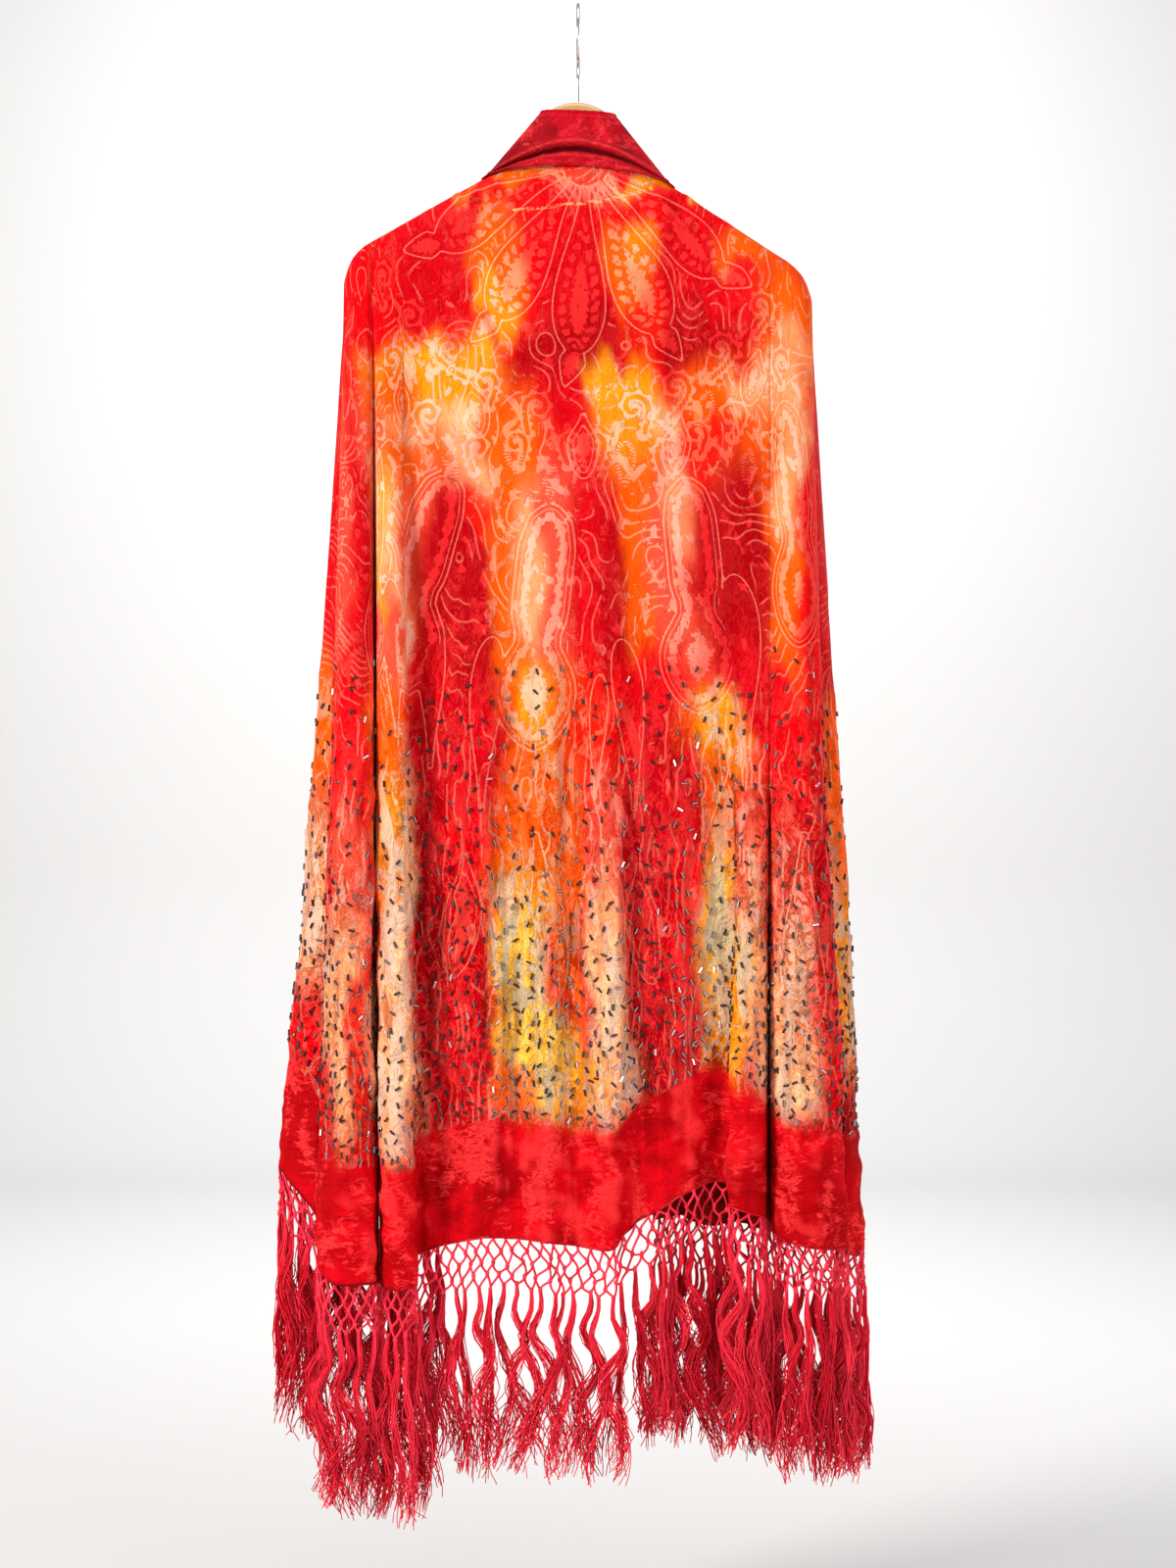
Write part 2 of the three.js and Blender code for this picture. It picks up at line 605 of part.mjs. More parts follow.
const backFirst = leftColumns;
const backLast = leftColumns + backColumns;
const leftWall = clothWall(grid, normals, 0, backFirst);
const backWall = clothWall(grid, normals, backFirst, backLast);
const rightWall = clothWall(grid, normals, backLast, columns.length - 1);
openSeam(leftWall, backFirst, 1);
openSeam(backWall, 0, -1);
openSeam(backWall, backColumns, -1);
openSeam(rightWall, 0, 1);
openTop(leftWall, 1);
openTop(backWall, -1);
openTop(rightWall, 1);

const velvet = fabric(0xc21420, 0.6);
const plainVelvet = fabric(0xb80f1e, 0.55);
const silk = fabric(0xc8152f, 0.5);
const beech = new THREE.MeshStandardMaterial({ color: 0xb98a55, roughness: 0.55, metalness: 0 });
const steel = new THREE.MeshStandardMaterial({ color: 0xb9b7b2, roughness: 0.3, metalness: 1 });

const shawl = new THREE.Group();
shawl.add(part("shawl_back", wallGeometry(backWall.outer, backWall.inner), velvet));
shawl.add(part("shawl_left_front", wallGeometry(leftWall.outer, leftWall.inner), velvet));
shawl.add(part("shawl_right_front", wallGeometry(rightWall.outer, rightWall.inner), velvet));
shawl.add(part("neck_band", neckBand(), plainVelvet));
shawl.add(part("fringe_back", fringeBelow(backWall), silk));
shawl.add(part("fringe_left_front", fringeBelow(leftWall), silk));
shawl.add(part("fringe_right_front", fringeBelow(rightWall), silk));

const hanger = new THREE.Group();
hanger.add(part("hanger_wood", hangerWood(), beech));
hanger.add(part("hanger_hook", hangerHook(), steel));

const group = new THREE.Group();
group.add(shawl, hanger);
export default group;
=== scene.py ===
"""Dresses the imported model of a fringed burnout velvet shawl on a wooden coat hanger.

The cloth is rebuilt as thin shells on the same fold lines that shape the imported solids. On top of it
come its dyed paisley pattern, beads, knotted net, fringe and sewing. Tables and sizes are in
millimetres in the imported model's frame, and meshes are in metres.
"""

import logging
import math
from dataclasses import dataclass
from enum import Enum
from typing import Callable, Iterable, Optional, Union

import bmesh
import bpy
import numpy as np
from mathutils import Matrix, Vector


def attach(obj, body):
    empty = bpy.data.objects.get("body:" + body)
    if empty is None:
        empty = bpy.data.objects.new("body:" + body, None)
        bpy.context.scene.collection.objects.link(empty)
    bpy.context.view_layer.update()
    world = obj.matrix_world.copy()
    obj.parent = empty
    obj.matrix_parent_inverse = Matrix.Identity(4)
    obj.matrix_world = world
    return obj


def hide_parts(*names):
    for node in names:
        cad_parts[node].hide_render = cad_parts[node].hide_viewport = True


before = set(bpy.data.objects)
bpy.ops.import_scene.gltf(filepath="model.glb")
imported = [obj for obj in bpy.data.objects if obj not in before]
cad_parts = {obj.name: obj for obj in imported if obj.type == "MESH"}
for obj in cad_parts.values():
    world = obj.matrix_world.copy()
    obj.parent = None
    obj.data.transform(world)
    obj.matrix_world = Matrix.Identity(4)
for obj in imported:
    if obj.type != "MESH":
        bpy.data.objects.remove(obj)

MM = 0.001
BODY = "root"
log = logging.getLogger("shawl")

Array = np.ndarray
Rng = np.random.Generator
Piece = bpy.types.Object
Mesh = bpy.types.Mesh
Material = bpy.types.Material
Colour = tuple[float, float, float]


# Numbers


def lerp(low: Array, high: Array, share: Array) -> Array:
    """Blends from low to high."""
    return low + (high - low) * share


def smoothstep(low: float, high: float, value: Array) -> Array:
    """Rises smoothly from 0 at low to 1 at high."""
    share = np.clip((np.asarray(value, float) - low) / (high - low), 0, 1)
    return share * share * (3 - 2 * share)


def unit(vectors: Array) -> Array:
    """Scales vectors along the last axis to length 1."""
    return vectors / np.maximum(np.linalg.norm(vectors, axis=-1, keepdims=True), 1e-12)


def lengths_along(points: Array) -> Array:
    """Measures the length of a line of points up to each of them."""
    return np.concatenate([[0], np.cumsum(np.linalg.norm(np.diff(points, axis=0), axis=1))])


def curve_shares(t: Array) -> Array:
    """Gives the shares of four neighbouring points in a smooth curve between the middle two."""
    weights = [-t + 2 * t**2 - t**3, 2 - 5 * t**2 + 3 * t**3, t + 4 * t**2 - 3 * t**3, -(t**2) + t**3]
    return 0.5 * np.stack(weights, axis=1)


def sample(place: float, along: Array, rows: Array) -> Array:
    """Reads rows of three numbers at a length along their line."""
    return np.array([np.interp(place, along, rows[:, k]) for k in range(3)])


@dataclass(frozen=True)
class ValueNoise:
    """Smooth random values between 0 and 1 on a square lattice."""

    seed: int

    def _corner(self, column: Array, row: Array) -> Array:
        """Gives the random value of each lattice corner.

        Args:
            column: Column numbers.
            row: Row numbers.

        Returns:
            Values between 0 and 1.
        """
        mixed = column.astype(np.uint64) * np.uint64(374761393)
        mixed = mixed + row.astype(np.uint64) * np.uint64(668265263) + np.uint64(self.seed * 1442695041)
        mixed = (mixed ^ (mixed >> np.uint64(13))) * np.uint64(1274126177)
        return ((mixed ^ (mixed >> np.uint64(16))) & np.uint64(0xFFFF)).astype(float) / 65535

    def at(self, x: Array, y: Array) -> Array:
        """Reads the noise.

        Args:
            x: Places across, in lattice steps.
            y: Places down, in lattice steps.

        Returns:
            Values between 0 and 1.
        """
        column, row = np.floor(x).astype(np.int64), np.floor(y).astype(np.int64)
        across, down = smoothstep(0, 1, x - column), smoothstep(0, 1, y - row)
        top = lerp(self._corner(column, row), self._corner(column + 1, row), across)
        bottom = lerp(self._corner(column, row + 1), self._corner(column + 1, row + 1), across)
        return lerp(top, bottom, down)

    def fractal(self, x: Array, y: Array, octaves: int = 3) -> Array:
        """Adds finer and weaker layers of the noise.

        Args:
            x: Places across, in steps of the coarsest layer.
            y: Places down, in steps of the coarsest layer.
            octaves: Number of layers.

        Returns:
            Values between 0 and 1.
        """
        total, weight = 0.0, 0.0
        for octave in range(octaves):
            scale = 2**octave
            total = total + self.at(x * scale + 17.3 * octave, y * scale - 9.1 * octave) / scale
            weight += 1 / scale
        return total / weight


# Mesh making


def make_object(name: str, mesh: Mesh, material: Material) -> Piece:
    """Puts a mesh in the scene as a piece of the shawl's body.

    Args:
        name: Name of the piece.
        mesh: Its mesh, in metres.
        material: Its finish.

    Returns:
        The new object.
    """
    piece = bpy.data.objects.new(name, mesh)
    bpy.context.scene.collection.objects.link(piece)
    mesh.materials.append(material)
    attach(piece, BODY)
    return piece


def make_mesh(name: str, points: Array, faces: Array, smooth: bool = True) -> Mesh:
    """Makes a mesh from points in millimetres and faces of one size.

    Args:
        name: Name of the mesh.
        points: Array of points, in millimetres.
        faces: Array of point numbers, a row for each face.
        smooth: Whether its faces are shaded smooth.

    Returns:
        The mesh, in metres.
    """
    mesh = bpy.data.meshes.new(name)
    sides = faces.shape[1]
    mesh.vertices.add(len(points))
    mesh.vertices.foreach_set("co", (np.asarray(points, float) * MM).ravel())
    mesh.loops.add(faces.size)
    mesh.loops.foreach_set("vertex_index", faces.ravel().astype(np.int32))
    mesh.polygons.add(len(faces))
    mesh.polygons.foreach_set("loop_start", np.arange(0, faces.size, sides, dtype=np.int32))
    mesh.polygons.foreach_set("use_smooth", np.full(len(faces), smooth))
    mesh.update(calc_edges=True)
    mesh.validate()
    return mesh


def add_value(mesh: Mesh, name: str, values: Array) -> None:
    """Stores a number on each point of a mesh."""
    mesh.attributes.new(name, "FLOAT", "POINT").data.foreach_set("value", np.asarray(values, np.float32))


def add_colour(mesh: Mesh, name: str, colours: Array) -> None:
    """Stores a colour on each point of a mesh."""
    rgba = np.insert(colours, 3, 1, axis=1).astype(np.float32)
    mesh.attributes.new(name, "FLOAT_COLOR", "POINT").data.foreach_set("color", rgba.ravel())


def add_uv(mesh: Mesh, name: str, places: Array) -> None:
    """Stores a cloth place in metres on each corner of a mesh.

    Args:
        mesh: The mesh.
        name: Name to give it.
        places: Places on the flat cloth, in millimetres.
    """
    corners = np.zeros(len(mesh.loops), np.int32)
    mesh.loops.foreach_get("vertex_index", corners)
    layer = mesh.uv_layers.new(name=name)
    layer.data.foreach_set("uv", (places[corners] * MM).astype(np.float32).ravel())


def grid_faces(rows: int, columns: int, first: int = 0) -> Array:
    """Lists the quads of a grid of points.

    Args:
        rows: Number of rows of points.
        columns: Number of points in a row.
        first: Number of the grid's first point.

    Returns:
        Array of four point numbers for each quad.
    """
    row, column = np.meshgrid(np.arange(rows - 1), np.arange(columns - 1), indexing="ij")
    corner = (first + row * columns + column).ravel()
    return np.stack([corner, corner + columns, corner + columns + 1, corner + 1], axis=1)


def shell(outer: Array, inner: Array) -> tuple[Array, Array]:
    """Closes two grids of points into a thin shell.

    Args:
        outer: Rows and columns of points that face outwards.
        inner: The same on the inside.

    Returns:
        The points and the quads.
    """
    rows, columns = outer.shape[:2]
    count = rows * columns
    number = np.arange(count).reshape(rows, columns)
    faces = [grid_faces(rows, columns), grid_faces(rows, columns, count)[:, ::-1]]
    for edge in (number[0, ::-1], number[-1], number[:, 0], number[::-1, -1]):
        faces.append(np.stack([edge[:-1], edge[:-1] + count, edge[1:] + count, edge[1:]], axis=1))
    return np.concatenate([outer.reshape(-1, 3), inner.reshape(-1, 3)]), np.concatenate(faces)


def tube_along(path: Array, radii: Array, sides: int) -> tuple[Array, Array]:
    """Sweeps a ring along a path that never runs straight along X.

    Args:
        path: Points of the middle line.
        radii: Radius at each point.
        sides: Number of sides of the ring.

    Returns:
        The points and the quads of its side.
    """
    ahead = unit(np.gradient(path, axis=0))
    helper = np.array([0.0, 1.0, 0.0]) if abs(ahead[:, 1]).max() < 0.9 else np.array([1.0, 0.0, 0.0])
    right = unit(np.cross(ahead, helper))
    up = np.cross(right, ahead)
    turn = 2 * np.pi * np.arange(sides) / sides
    ring = np.cos(turn)[None, :, None] * right[:, None] + np.sin(turn)[None, :, None] * up[:, None]
    points = (path[:, None] + ring * np.asarray(radii)[:, None, None]).reshape(-1, 3)
    return points, ring_faces(len(path), sides)


def ring_faces(rings: int, sides: int) -> Array:
    """Lists the quads between rings of points that follow one another.

    Args:
        rings: Number of rings.
        sides: Number of points in a ring.

    Returns:
        The quads.
    """
    level, side = np.meshgrid(np.arange(rings - 1) * sides, np.arange(sides), indexing="ij")
    start, this = level.ravel(), side.ravel()
    after = (this + 1) % sides
    return np.stack([start + this, start + sides + this, start + sides + after, start + after], axis=1)


class Bundle:
    """Gathers many small quad meshes and their values into one."""

    def __init__(self) -> None:
        """Starts empty."""
        self.points: list[Array] = []
        self.faces: list[Array] = []
        self.tints: list[Array] = []
        self.count = 0

    def add(self, points: Array, faces: Array, tint: float) -> None:
        """Adds a small mesh whose faces count from 0, with one random tint.

        Args:
            points: Its points.
            faces: Its quads, which count from 0.
            tint: Its random tint.
        """
        self.points.append(points)
        self.faces.append(faces + self.count)
        self.tints.append(np.full(len(points), tint))
        self.count += len(points)

    def mesh(self, name: str, smooth: bool = True) -> Mesh:
        """Joins what was added.

        Args:
            name: Name of the mesh.
            smooth: Whether its faces are shaded smooth.

        Returns:
            The mesh, with its tints as the attribute "tint".
        """
        joined = make_mesh(name, np.concatenate(self.points), np.concatenate(self.faces), smooth)
        add_value(joined, "tint", np.concatenate(self.tints))
        return joined


# The cloth's form


@dataclass(frozen=True)
class ArmLine:
    """The top line that the cloth follows over the hanger, and its half thickness."""

    neck_reach: float = 34
    neck_z: float = -103
    arm_reach: float = 87
    arm_z: float = -166
    arm_slope: float = 0.607
    tip_reach: float = 200
    tip_radius: float = 50
    lean: float = 0.044
    neck_half: float = 10
    shoulder_half: float = 20

    @property
    def tip_angle(self) -> float:
        """Steepness of the arm, as an angle."""
        return math.atan(self.arm_slope)

    @property
    def side_reach(self) -> float:
        """Distance along the arm to where the cloth hangs straight down."""
        return self.tip_reach + self.tip_radius * (math.pi / 2 - self.tip_angle)

    def level(self, reach: float) -> tuple[float, float]:
        """Finds a point of the top line of a level hanger.

        Args:
            reach: Signed distance along the arm.

        Returns:
            Its sideways place and height.
        """
        away = abs(reach)
        if away <= self.arm_reach:
            share = (away - self.neck_reach) / (self.arm_reach - self.neck_reach)
            return reach, self.neck_z + (self.arm_z - self.neck_z) * share
        if away <= self.tip_reach:
            return reach, self.arm_z - self.arm_slope * (away - self.arm_reach)
        angle = self.tip_angle + (away - self.tip_reach) / self.tip_radius
        sideways = self.tip_reach + self.tip_radius * (math.sin(angle) - math.sin(self.tip_angle))
        tip_z = self.arm_z - self.arm_slope * (self.tip_reach - self.arm_reach)
        height = tip_z - self.tip_radius * (math.cos(self.tip_angle) - math.cos(angle))
        return math.copysign(sideways, reach), height

    def top(self, reach: float) -> tuple[float, float]:
        """Finds the same point with the hanger's lean."""
        sideways, height = self.level(reach)
        return sideways, height - self.lean * sideways

    def half(self, reach: float) -> float:
        """Gives the half thickness of the dressed hanger at a distance along the arm.

        Args:
            reach: Signed distance along the arm.

        Returns:
            The half thickness.
        """
        away = abs(reach)
        if away <= self.tip_reach:
            return self.neck_half + (self.shoulder_half - self.neck_half) * away / self.tip_reach
        past = min(1.0, (away - self.tip_reach) / (self.side_reach - self.tip_reach))
        return self.shoulder_half * math.sqrt(1 - past * past)

    def level_at(self, sideways: float) -> tuple[float, float]:
        """Finds a level arm's height and steepness.

        Args:
            sideways: Unsigned distance from the middle.

        Returns:
            The height and the slope there.
        """
        if sideways <= self.arm_reach:
            return self.level(sideways)[1], (self.neck_z - self.arm_z) / (self.arm_reach - self.neck_reach)
        if sideways <= self.tip_reach:
            return self.level(sideways)[1], self.arm_slope
        sine = min(1.0, (sideways - self.tip_reach) / self.tip_radius + math.sin(self.tip_angle))
        angle = math.asin(sine)
        reach = self.tip_reach + self.tip_radius * (angle - self.tip_angle)
        return self.level(reach)[1], math.tan(angle)


ARM = ArmLine()


@dataclass(frozen=True)
class FoldLine:
    """A line of the cloth from the hanger down to the hem.

    reach is where it starts along the arm, hem_x and hem_z where it ends, out how far it stands from
    the hanger's plane there, bow how far its middle moves sideways, and start the share of its height
    where it begins to stand out.
    """

    reach: float
    hem_x: float
    out: float
    hem_z: float
    bow: float = 0
    start: float = 0


BACK_FOLDS = {
    "left side seam": FoldLine(-ARM.side_reach, -250, 0, -1162),
    "left pleat edge": FoldLine(-243, -250, 21, -1200, bow=3),
    "left pleat crest": FoldLine(-224, -231, 43, -1216),
    "left pleat shoulder": FoldLine(-209, -204, 40, -1217),
    "left groove lip": FoldLine(-201, -193, 30, -1217),
    "left groove": FoldLine(-196, -190, 6, -1219),
    "second pleat lip": FoldLine(-191, -186, 30, -1222),
    "second pleat crest": FoldLine(-181, -169, 45, -1222, start=0.05),
    "second pleat edge": FoldLine(-171, -152, 36, -1217, start=0.1),
    "second pleat tuck": FoldLine(-164, -165, 19, -1206, start=0.1),
    "back starts": FoldLine(-150, -156, 8, -1196, start=0.2),
    "back ripple 1": FoldLine(-122, -127, 15, -1184, start=0.2),
    "back ripple 2": FoldLine(-94, -94, 27, -1176, start=0.2),
    "back slope": FoldLine(-82, -78, 23, -1176, start=0.2),
    "back ripple 3": FoldLine(-62, -58, 16, -1178, start=0.2),
    "back ripple 4": FoldLine(-31, -26, 27, -1180, start=0.2),
    "centre back": FoldLine(0, 4, 17, -1185, start=0.2),
    "back ripple 5": FoldLine(29, 32, 31, -1186, start=0.2),
    "back ripple 6": FoldLine(60, 54, 17, -1163, start=0.2),
    "back rise": FoldLine(82, 70, 19, -1154, start=0.25),
    "back ripple 7": FoldLine(94, 82, 25, -1146, start=0.3),
    "back ripple 8": FoldLine(116, 110, 14, -1132, start=0.3),
    "back ends": FoldLine(136, 136, 6, -1125, start=0.4),
    "third pleat tuck": FoldLine(148, 149, 12, -1132, start=0.6),
    "third pleat edge": FoldLine(156, 140, 28, -1143, start=0.62),
    "third pleat crest": FoldLine(166, 156, 44, -1148, start=0.58),
    "third pleat lip": FoldLine(176, 174, 34, -1154, start=0.5),
    "right groove": FoldLine(183, 182, 8, -1162, start=0.5),
    "right pleat lip": FoldLine(190, 189, 32, -1174, start=0.3),
    "right pleat crest": FoldLine(204, 211, 45, -1180),
    "right pleat shoulder": FoldLine(222, 237, 41, -1184),
    "right pleat edge": FoldLine(242, 258, 22, -1186, bow=-6),
    "right side seam": FoldLine(ARM.side_reach, 248, 0, -1182),
}


@dataclass(frozen=True)
class FrontPanel:
    """A plain front, folded in even waves from its open edge out to the side."""

    side: int
    folds: float
    edge_x: float
    outer_x: float
    edge_z: float
    outer_z: float
    bow: float
    plane: float = 46
    edge_depth: float = 23
    side_depth: float = 16
    lines_per_fold: int = 4
    turns: tuple[tuple[float, float, float, float], ...] = ((12, 0, 37, 2), (6, 11, 13, 12))
    crest_reach: float = 19
    crest_inset: float = 9

    def lines(self) -> list[FoldLine]:
        """Works out the panel's lines.

        Returns:
            Lines from the open edge to the one before the side seam.
        """
        made = []
        count = round(self.folds * self.lines_per_fold)
        last_reach = ARM.side_reach - self.crest_reach
        last_x = self.outer_x - self.side * self.crest_inset
        for i in range(count + 1):
            share = i / count
            wave = math.cos(2 * math.pi * self.folds * (1 - share))
            reach = self.side * lerp(ARM.neck_reach, last_reach, share)
            out = self.plane + lerp(self.edge_depth, self.side_depth, share) * wave
            hem_x, hem_z = lerp(self.edge_x, last_x, share), lerp(self.edge_z, self.outer_z, share)
            made.append(FoldLine(reach, hem_x, out, hem_z, self.bow * share, start=0.05))
        for inset_reach, inset, out, drop in self.turns:
            reach, hem_x = self.side * (ARM.side_reach - inset_reach), self.outer_x - self.side * inset
            made.append(FoldLine(reach, hem_x, out, self.outer_z - drop, self.bow, start=0.02))
        return made


LEFT_FRONT = FrontPanel(-1, 3, edge_x=-140, outer_x=-292, edge_z=-1154, outer_z=-1113, bow=2)
RIGHT_FRONT = FrontPanel(1, 3.5, edge_x=72, outer_x=279, edge_z=-1166, outer_z=-1188, bow=2)


@dataclass(frozen=True)
class NeckBandForm:
    """The border turned up behind the neck: half an oval in plan with rolls in its section."""

    top_half_width: float = 36
    top_depth: float = 15
    top_z: float = -103
    foot_half_width: float = 93
    foot_depth: float = 24
    foot_z: float = -156.6
    above_arm: float = 3
    oval_power: float = 0.7
    yoke_half: float = 20
    yoke_depth: float = 15
    yoke_cover: float = 6
    shares: tuple[float, ...] = (0, 0.1, 0.35, 0.56, 0.66, 0.73, 0.82, 0.92, 1)
    outs: tuple[float, ...] = (0, 0.8, 1, 3.5, 7.5, 1.5, 0.6, 4, 1.5)

    def oval(self, reach: float) -> float:
        """Gives the share of the band's depth that is left at a distance from the middle."""
        share = min(1.0, abs(reach) / self.foot_half_width)
        return (1 - share * share) ** (self.oval_power / 2)


BAND = NeckBandForm()


class Drape:
    """The whole sheet of cloth as fold lines joined by smooth curves."""

    OVER_ARM = 1.0
    LEAST_SPAN = 6.0
    GROWTH = 1.8

    def __init__(self) -> None:
        """Collects the lines of the left front, the back and the right front."""
        left = LEFT_FRONT.lines()
        back = list(BACK_FOLDS.values())
        right = RIGHT_FRONT.lines()[::-1]
        self.lines = left + back + right
        self.back_first = len(left)
        self.back_last = len(left) + len(back) - 1
        facing = [1] * len(left) + [-1] * len(back) + [1] * len(right)
        self._settle(np.array(facing, float))

    def _settle(self, facing: Array) -> None:
        """Works out each line's start over the hanger.

        Args:
            facing: 1 for lines of the front and -1 for lines of the back.
        """
        rows = []
        for line, way in zip(self.lines, facing):
            x, z = ARM.top(line.reach)
            oval = BAND.oval(line.reach) if way < 0 else 0.0
            half = lerp(ARM.half(line.reach), BAND.yoke_half, oval)
            depth = BAND.yoke_depth * oval
            share = line.reach / BAND.foot_half_width
            foot = lerp(BAND.foot_z, ARM.level(BAND.foot_half_width)[1], share * share)
            if oval > 0:
                z = foot + BAND.yoke_cover * oval * oval - ARM.lean * line.reach
            drop = half - math.sqrt(half * half - depth * depth)
            rows.append((x, z, half, max(half, self.LEAST_SPAN), drop))
        self.x, self.z, self.half, self.span, self.start_drop = np.array(rows).T
        self.facing = facing
        names = ("hem_x", "out", "hem_z", "bow", "start", "reach")
        table = np.array([[getattr(line, name) for name in names] for line in self.lines]).T
        self.hem_x, self.out, self.hem_z, self.bow, self.start, self.reach = table

    def _on_lines(self, down: Array) -> Array:
        """Finds points on every line.

        Args:
            down: Places down a line: 0 to 1 goes over the arm, 1 to 2 on to the hem.

        Returns:
            Array of rows, lines and coordinates.
        """
        down = np.asarray(down, float)[:, None]
        full = self.z - self.hem_z
        first = self.span - self.start_drop
        over = first * (1 - np.cos(np.clip(down, 0, 1) * np.pi / 2))
        drop = np.where(down <= self.OVER_ARM, over, lerp(first, full, down - self.OVER_ARM))
        share = drop / full
        left = np.maximum(0, 1 - (self.start_drop + drop) / self.span)
        arc = self.half * np.sqrt(1 - left * left)
        begun = np.maximum(0, (share - self.start) / (1 - self.start))
        grown = 1 - (1 - begun) ** self.GROWTH
        hem_y = self.facing * self.out
        return np.stack(
            [
                lerp(self.x, self.hem_x, share) + self.bow * 4 * share * (1 - share),
                self.facing * arc + (hem_y - self.facing * self.half) * grown,
                self.z - drop,
            ],
            axis=-1,
        )

    def _weights(self, across: Array) -> tuple[Array, Array]:
        """Finds the four lines round each place across, and their shares of a smooth curve.

        Args:
            across: Places across the lines.

        Returns:
            The lines' numbers and their shares.
        """
        first = np.clip(np.floor(across).astype(int), 0, len(self.lines) - 2)
        near = np.clip(first[:, None] + np.arange(-1, 3), 0, len(self.lines) - 1)
        return near, curve_shares(across - first)

    def grid(self, across: Array, down: Array) -> Array:
        """Finds a grid of points of the sheet.

        Args:
            across: Places across the lines, 0 at the left front's open edge.
            down: Places down the lines, as for _on_lines.

        Returns:
            Array of rows, columns and coordinates, in millimetres.
        """
        near, shares = self._weights(np.asarray(across, float))
        return np.einsum("rckd,ck->rcd", self._on_lines(down)[:, near], shares)

    def line(self, name: str) -> int:
        """Gives a back line's place across the sheet."""
        return self.back_first + list(BACK_FOLDS).index(name)


DRAPE = Drape()


def grid_normals(grid: Array) -> Array:
    """Gives the outward unit normals of a grid of points whose rows run down."""
    down, right = np.gradient(grid, axis=0), np.gradient(grid, axis=1)
    return unit(np.cross(down, right))


class ClothMap:
    """Places on the flat cloth: sideways distance, equal to x over the middle of the back, and depth."""

    SAMPLES_PER_LINE = 12
    LEVEL = 1.5

    def __init__(self) -> None:
        """Measures along the sheet at one level."""
        last = len(DRAPE.lines) - 1
        self.across = np.linspace(0, last, last * self.SAMPLES_PER_LINE + 1)
        ring = DRAPE.grid(self.across, np.array([self.LEVEL]))[0]
        length = lengths_along(ring[:, :2])
        middle = np.interp(DRAPE.line("centre back"), self.across, length)
        self.sideways = length - middle

    def at(self, across: Array) -> Array:
        """Gives the sideways place of columns."""
        return np.interp(across, self.across, self.sideways)

    def columns(self, sideways: Array) -> Array:
        """Gives the columns at sideways places."""
        return np.interp(sideways, self.sideways, self.across)


CLOTH_MAP = ClothMap()


# The pattern


def outline_distance(points: Array, outline: Array, closed: bool = True) -> tuple[Array, Array]:
    """Measures from points to an outline.

    Args:
        points: Places on the flat cloth.
        outline: Corners of the outline.
        closed: Whether it closes, so that the distance is negative inside.

    Returns:
        The distance, and how far along the outline the nearest point is.
    """
    start, end = outline, np.roll(outline, -1, axis=0)
    if not closed:
        start, end = outline[:-1], outline[1:]
    edge = end - start
    length = np.linalg.norm(edge, axis=1)
    to_point = points[:, None] - start
    share = np.clip((to_point * edge).sum(-1) / (length**2 + 1e-9), 0, 1)
    away = np.linalg.norm(to_point - share[..., None] * edge, axis=-1)
    nearest = away.argmin(axis=1)
    pick = np.arange(len(points))
    distance = away[pick, nearest]
    along = np.concatenate([[0], np.cumsum(length)])[nearest] + share[pick, nearest] * length[nearest]
    if closed:
        above = (start[:, 1] > points[:, 1:2]) != (end[:, 1] > points[:, 1:2])
        slope = edge[:, 0] / np.where(edge[:, 1] == 0, 1e-9, edge[:, 1])
        crossing = points[:, :1] < slope * (points[:, 1:2] - start[:, 1]) + start[:, 0]
        inside = (above & crossing).sum(axis=1) % 2 == 1
        distance = np.where(inside, -distance, distance)
        along = abs(along - length.sum() / 2)
    return distance, along


@dataclass(frozen=True)
class Filling:
    """What a figure's outline holds, as depths in from it.

    inner_line is a second thin line, ring the middle of a ring of sheer cells, pitch their spacing,
    cut how far pile parts them, core where the sheer heart starts, and rim whether the outline shows.
    """

    inner_line: float = 90
    ring: float = 90
    pitch: float = 10
    cut: float = 1.5
    core: float = 90
    rim: float = 1


class Motif(Enum):
    """Kinds of figure in the burnout pattern, with their fillings."""

    PETAL = Filling(ring=9.5, pitch=13, cut=0.4, core=17)
    BOTEH = Filling(inner_line=4.8, ring=12, pitch=15, core=27)
    BUD = Filling(core=4.4, pitch=9)
    ARCH = Filling(inner_line=60, pitch=12)
    COMB = Filling(ring=5.5, pitch=3.7, cut=0.25, rim=0)
    VASE = Filling(inner_line=5.2, core=9, pitch=16)
    LEAF = "leaf"
    STAR = "star flower"
    CURL = "fern curl"


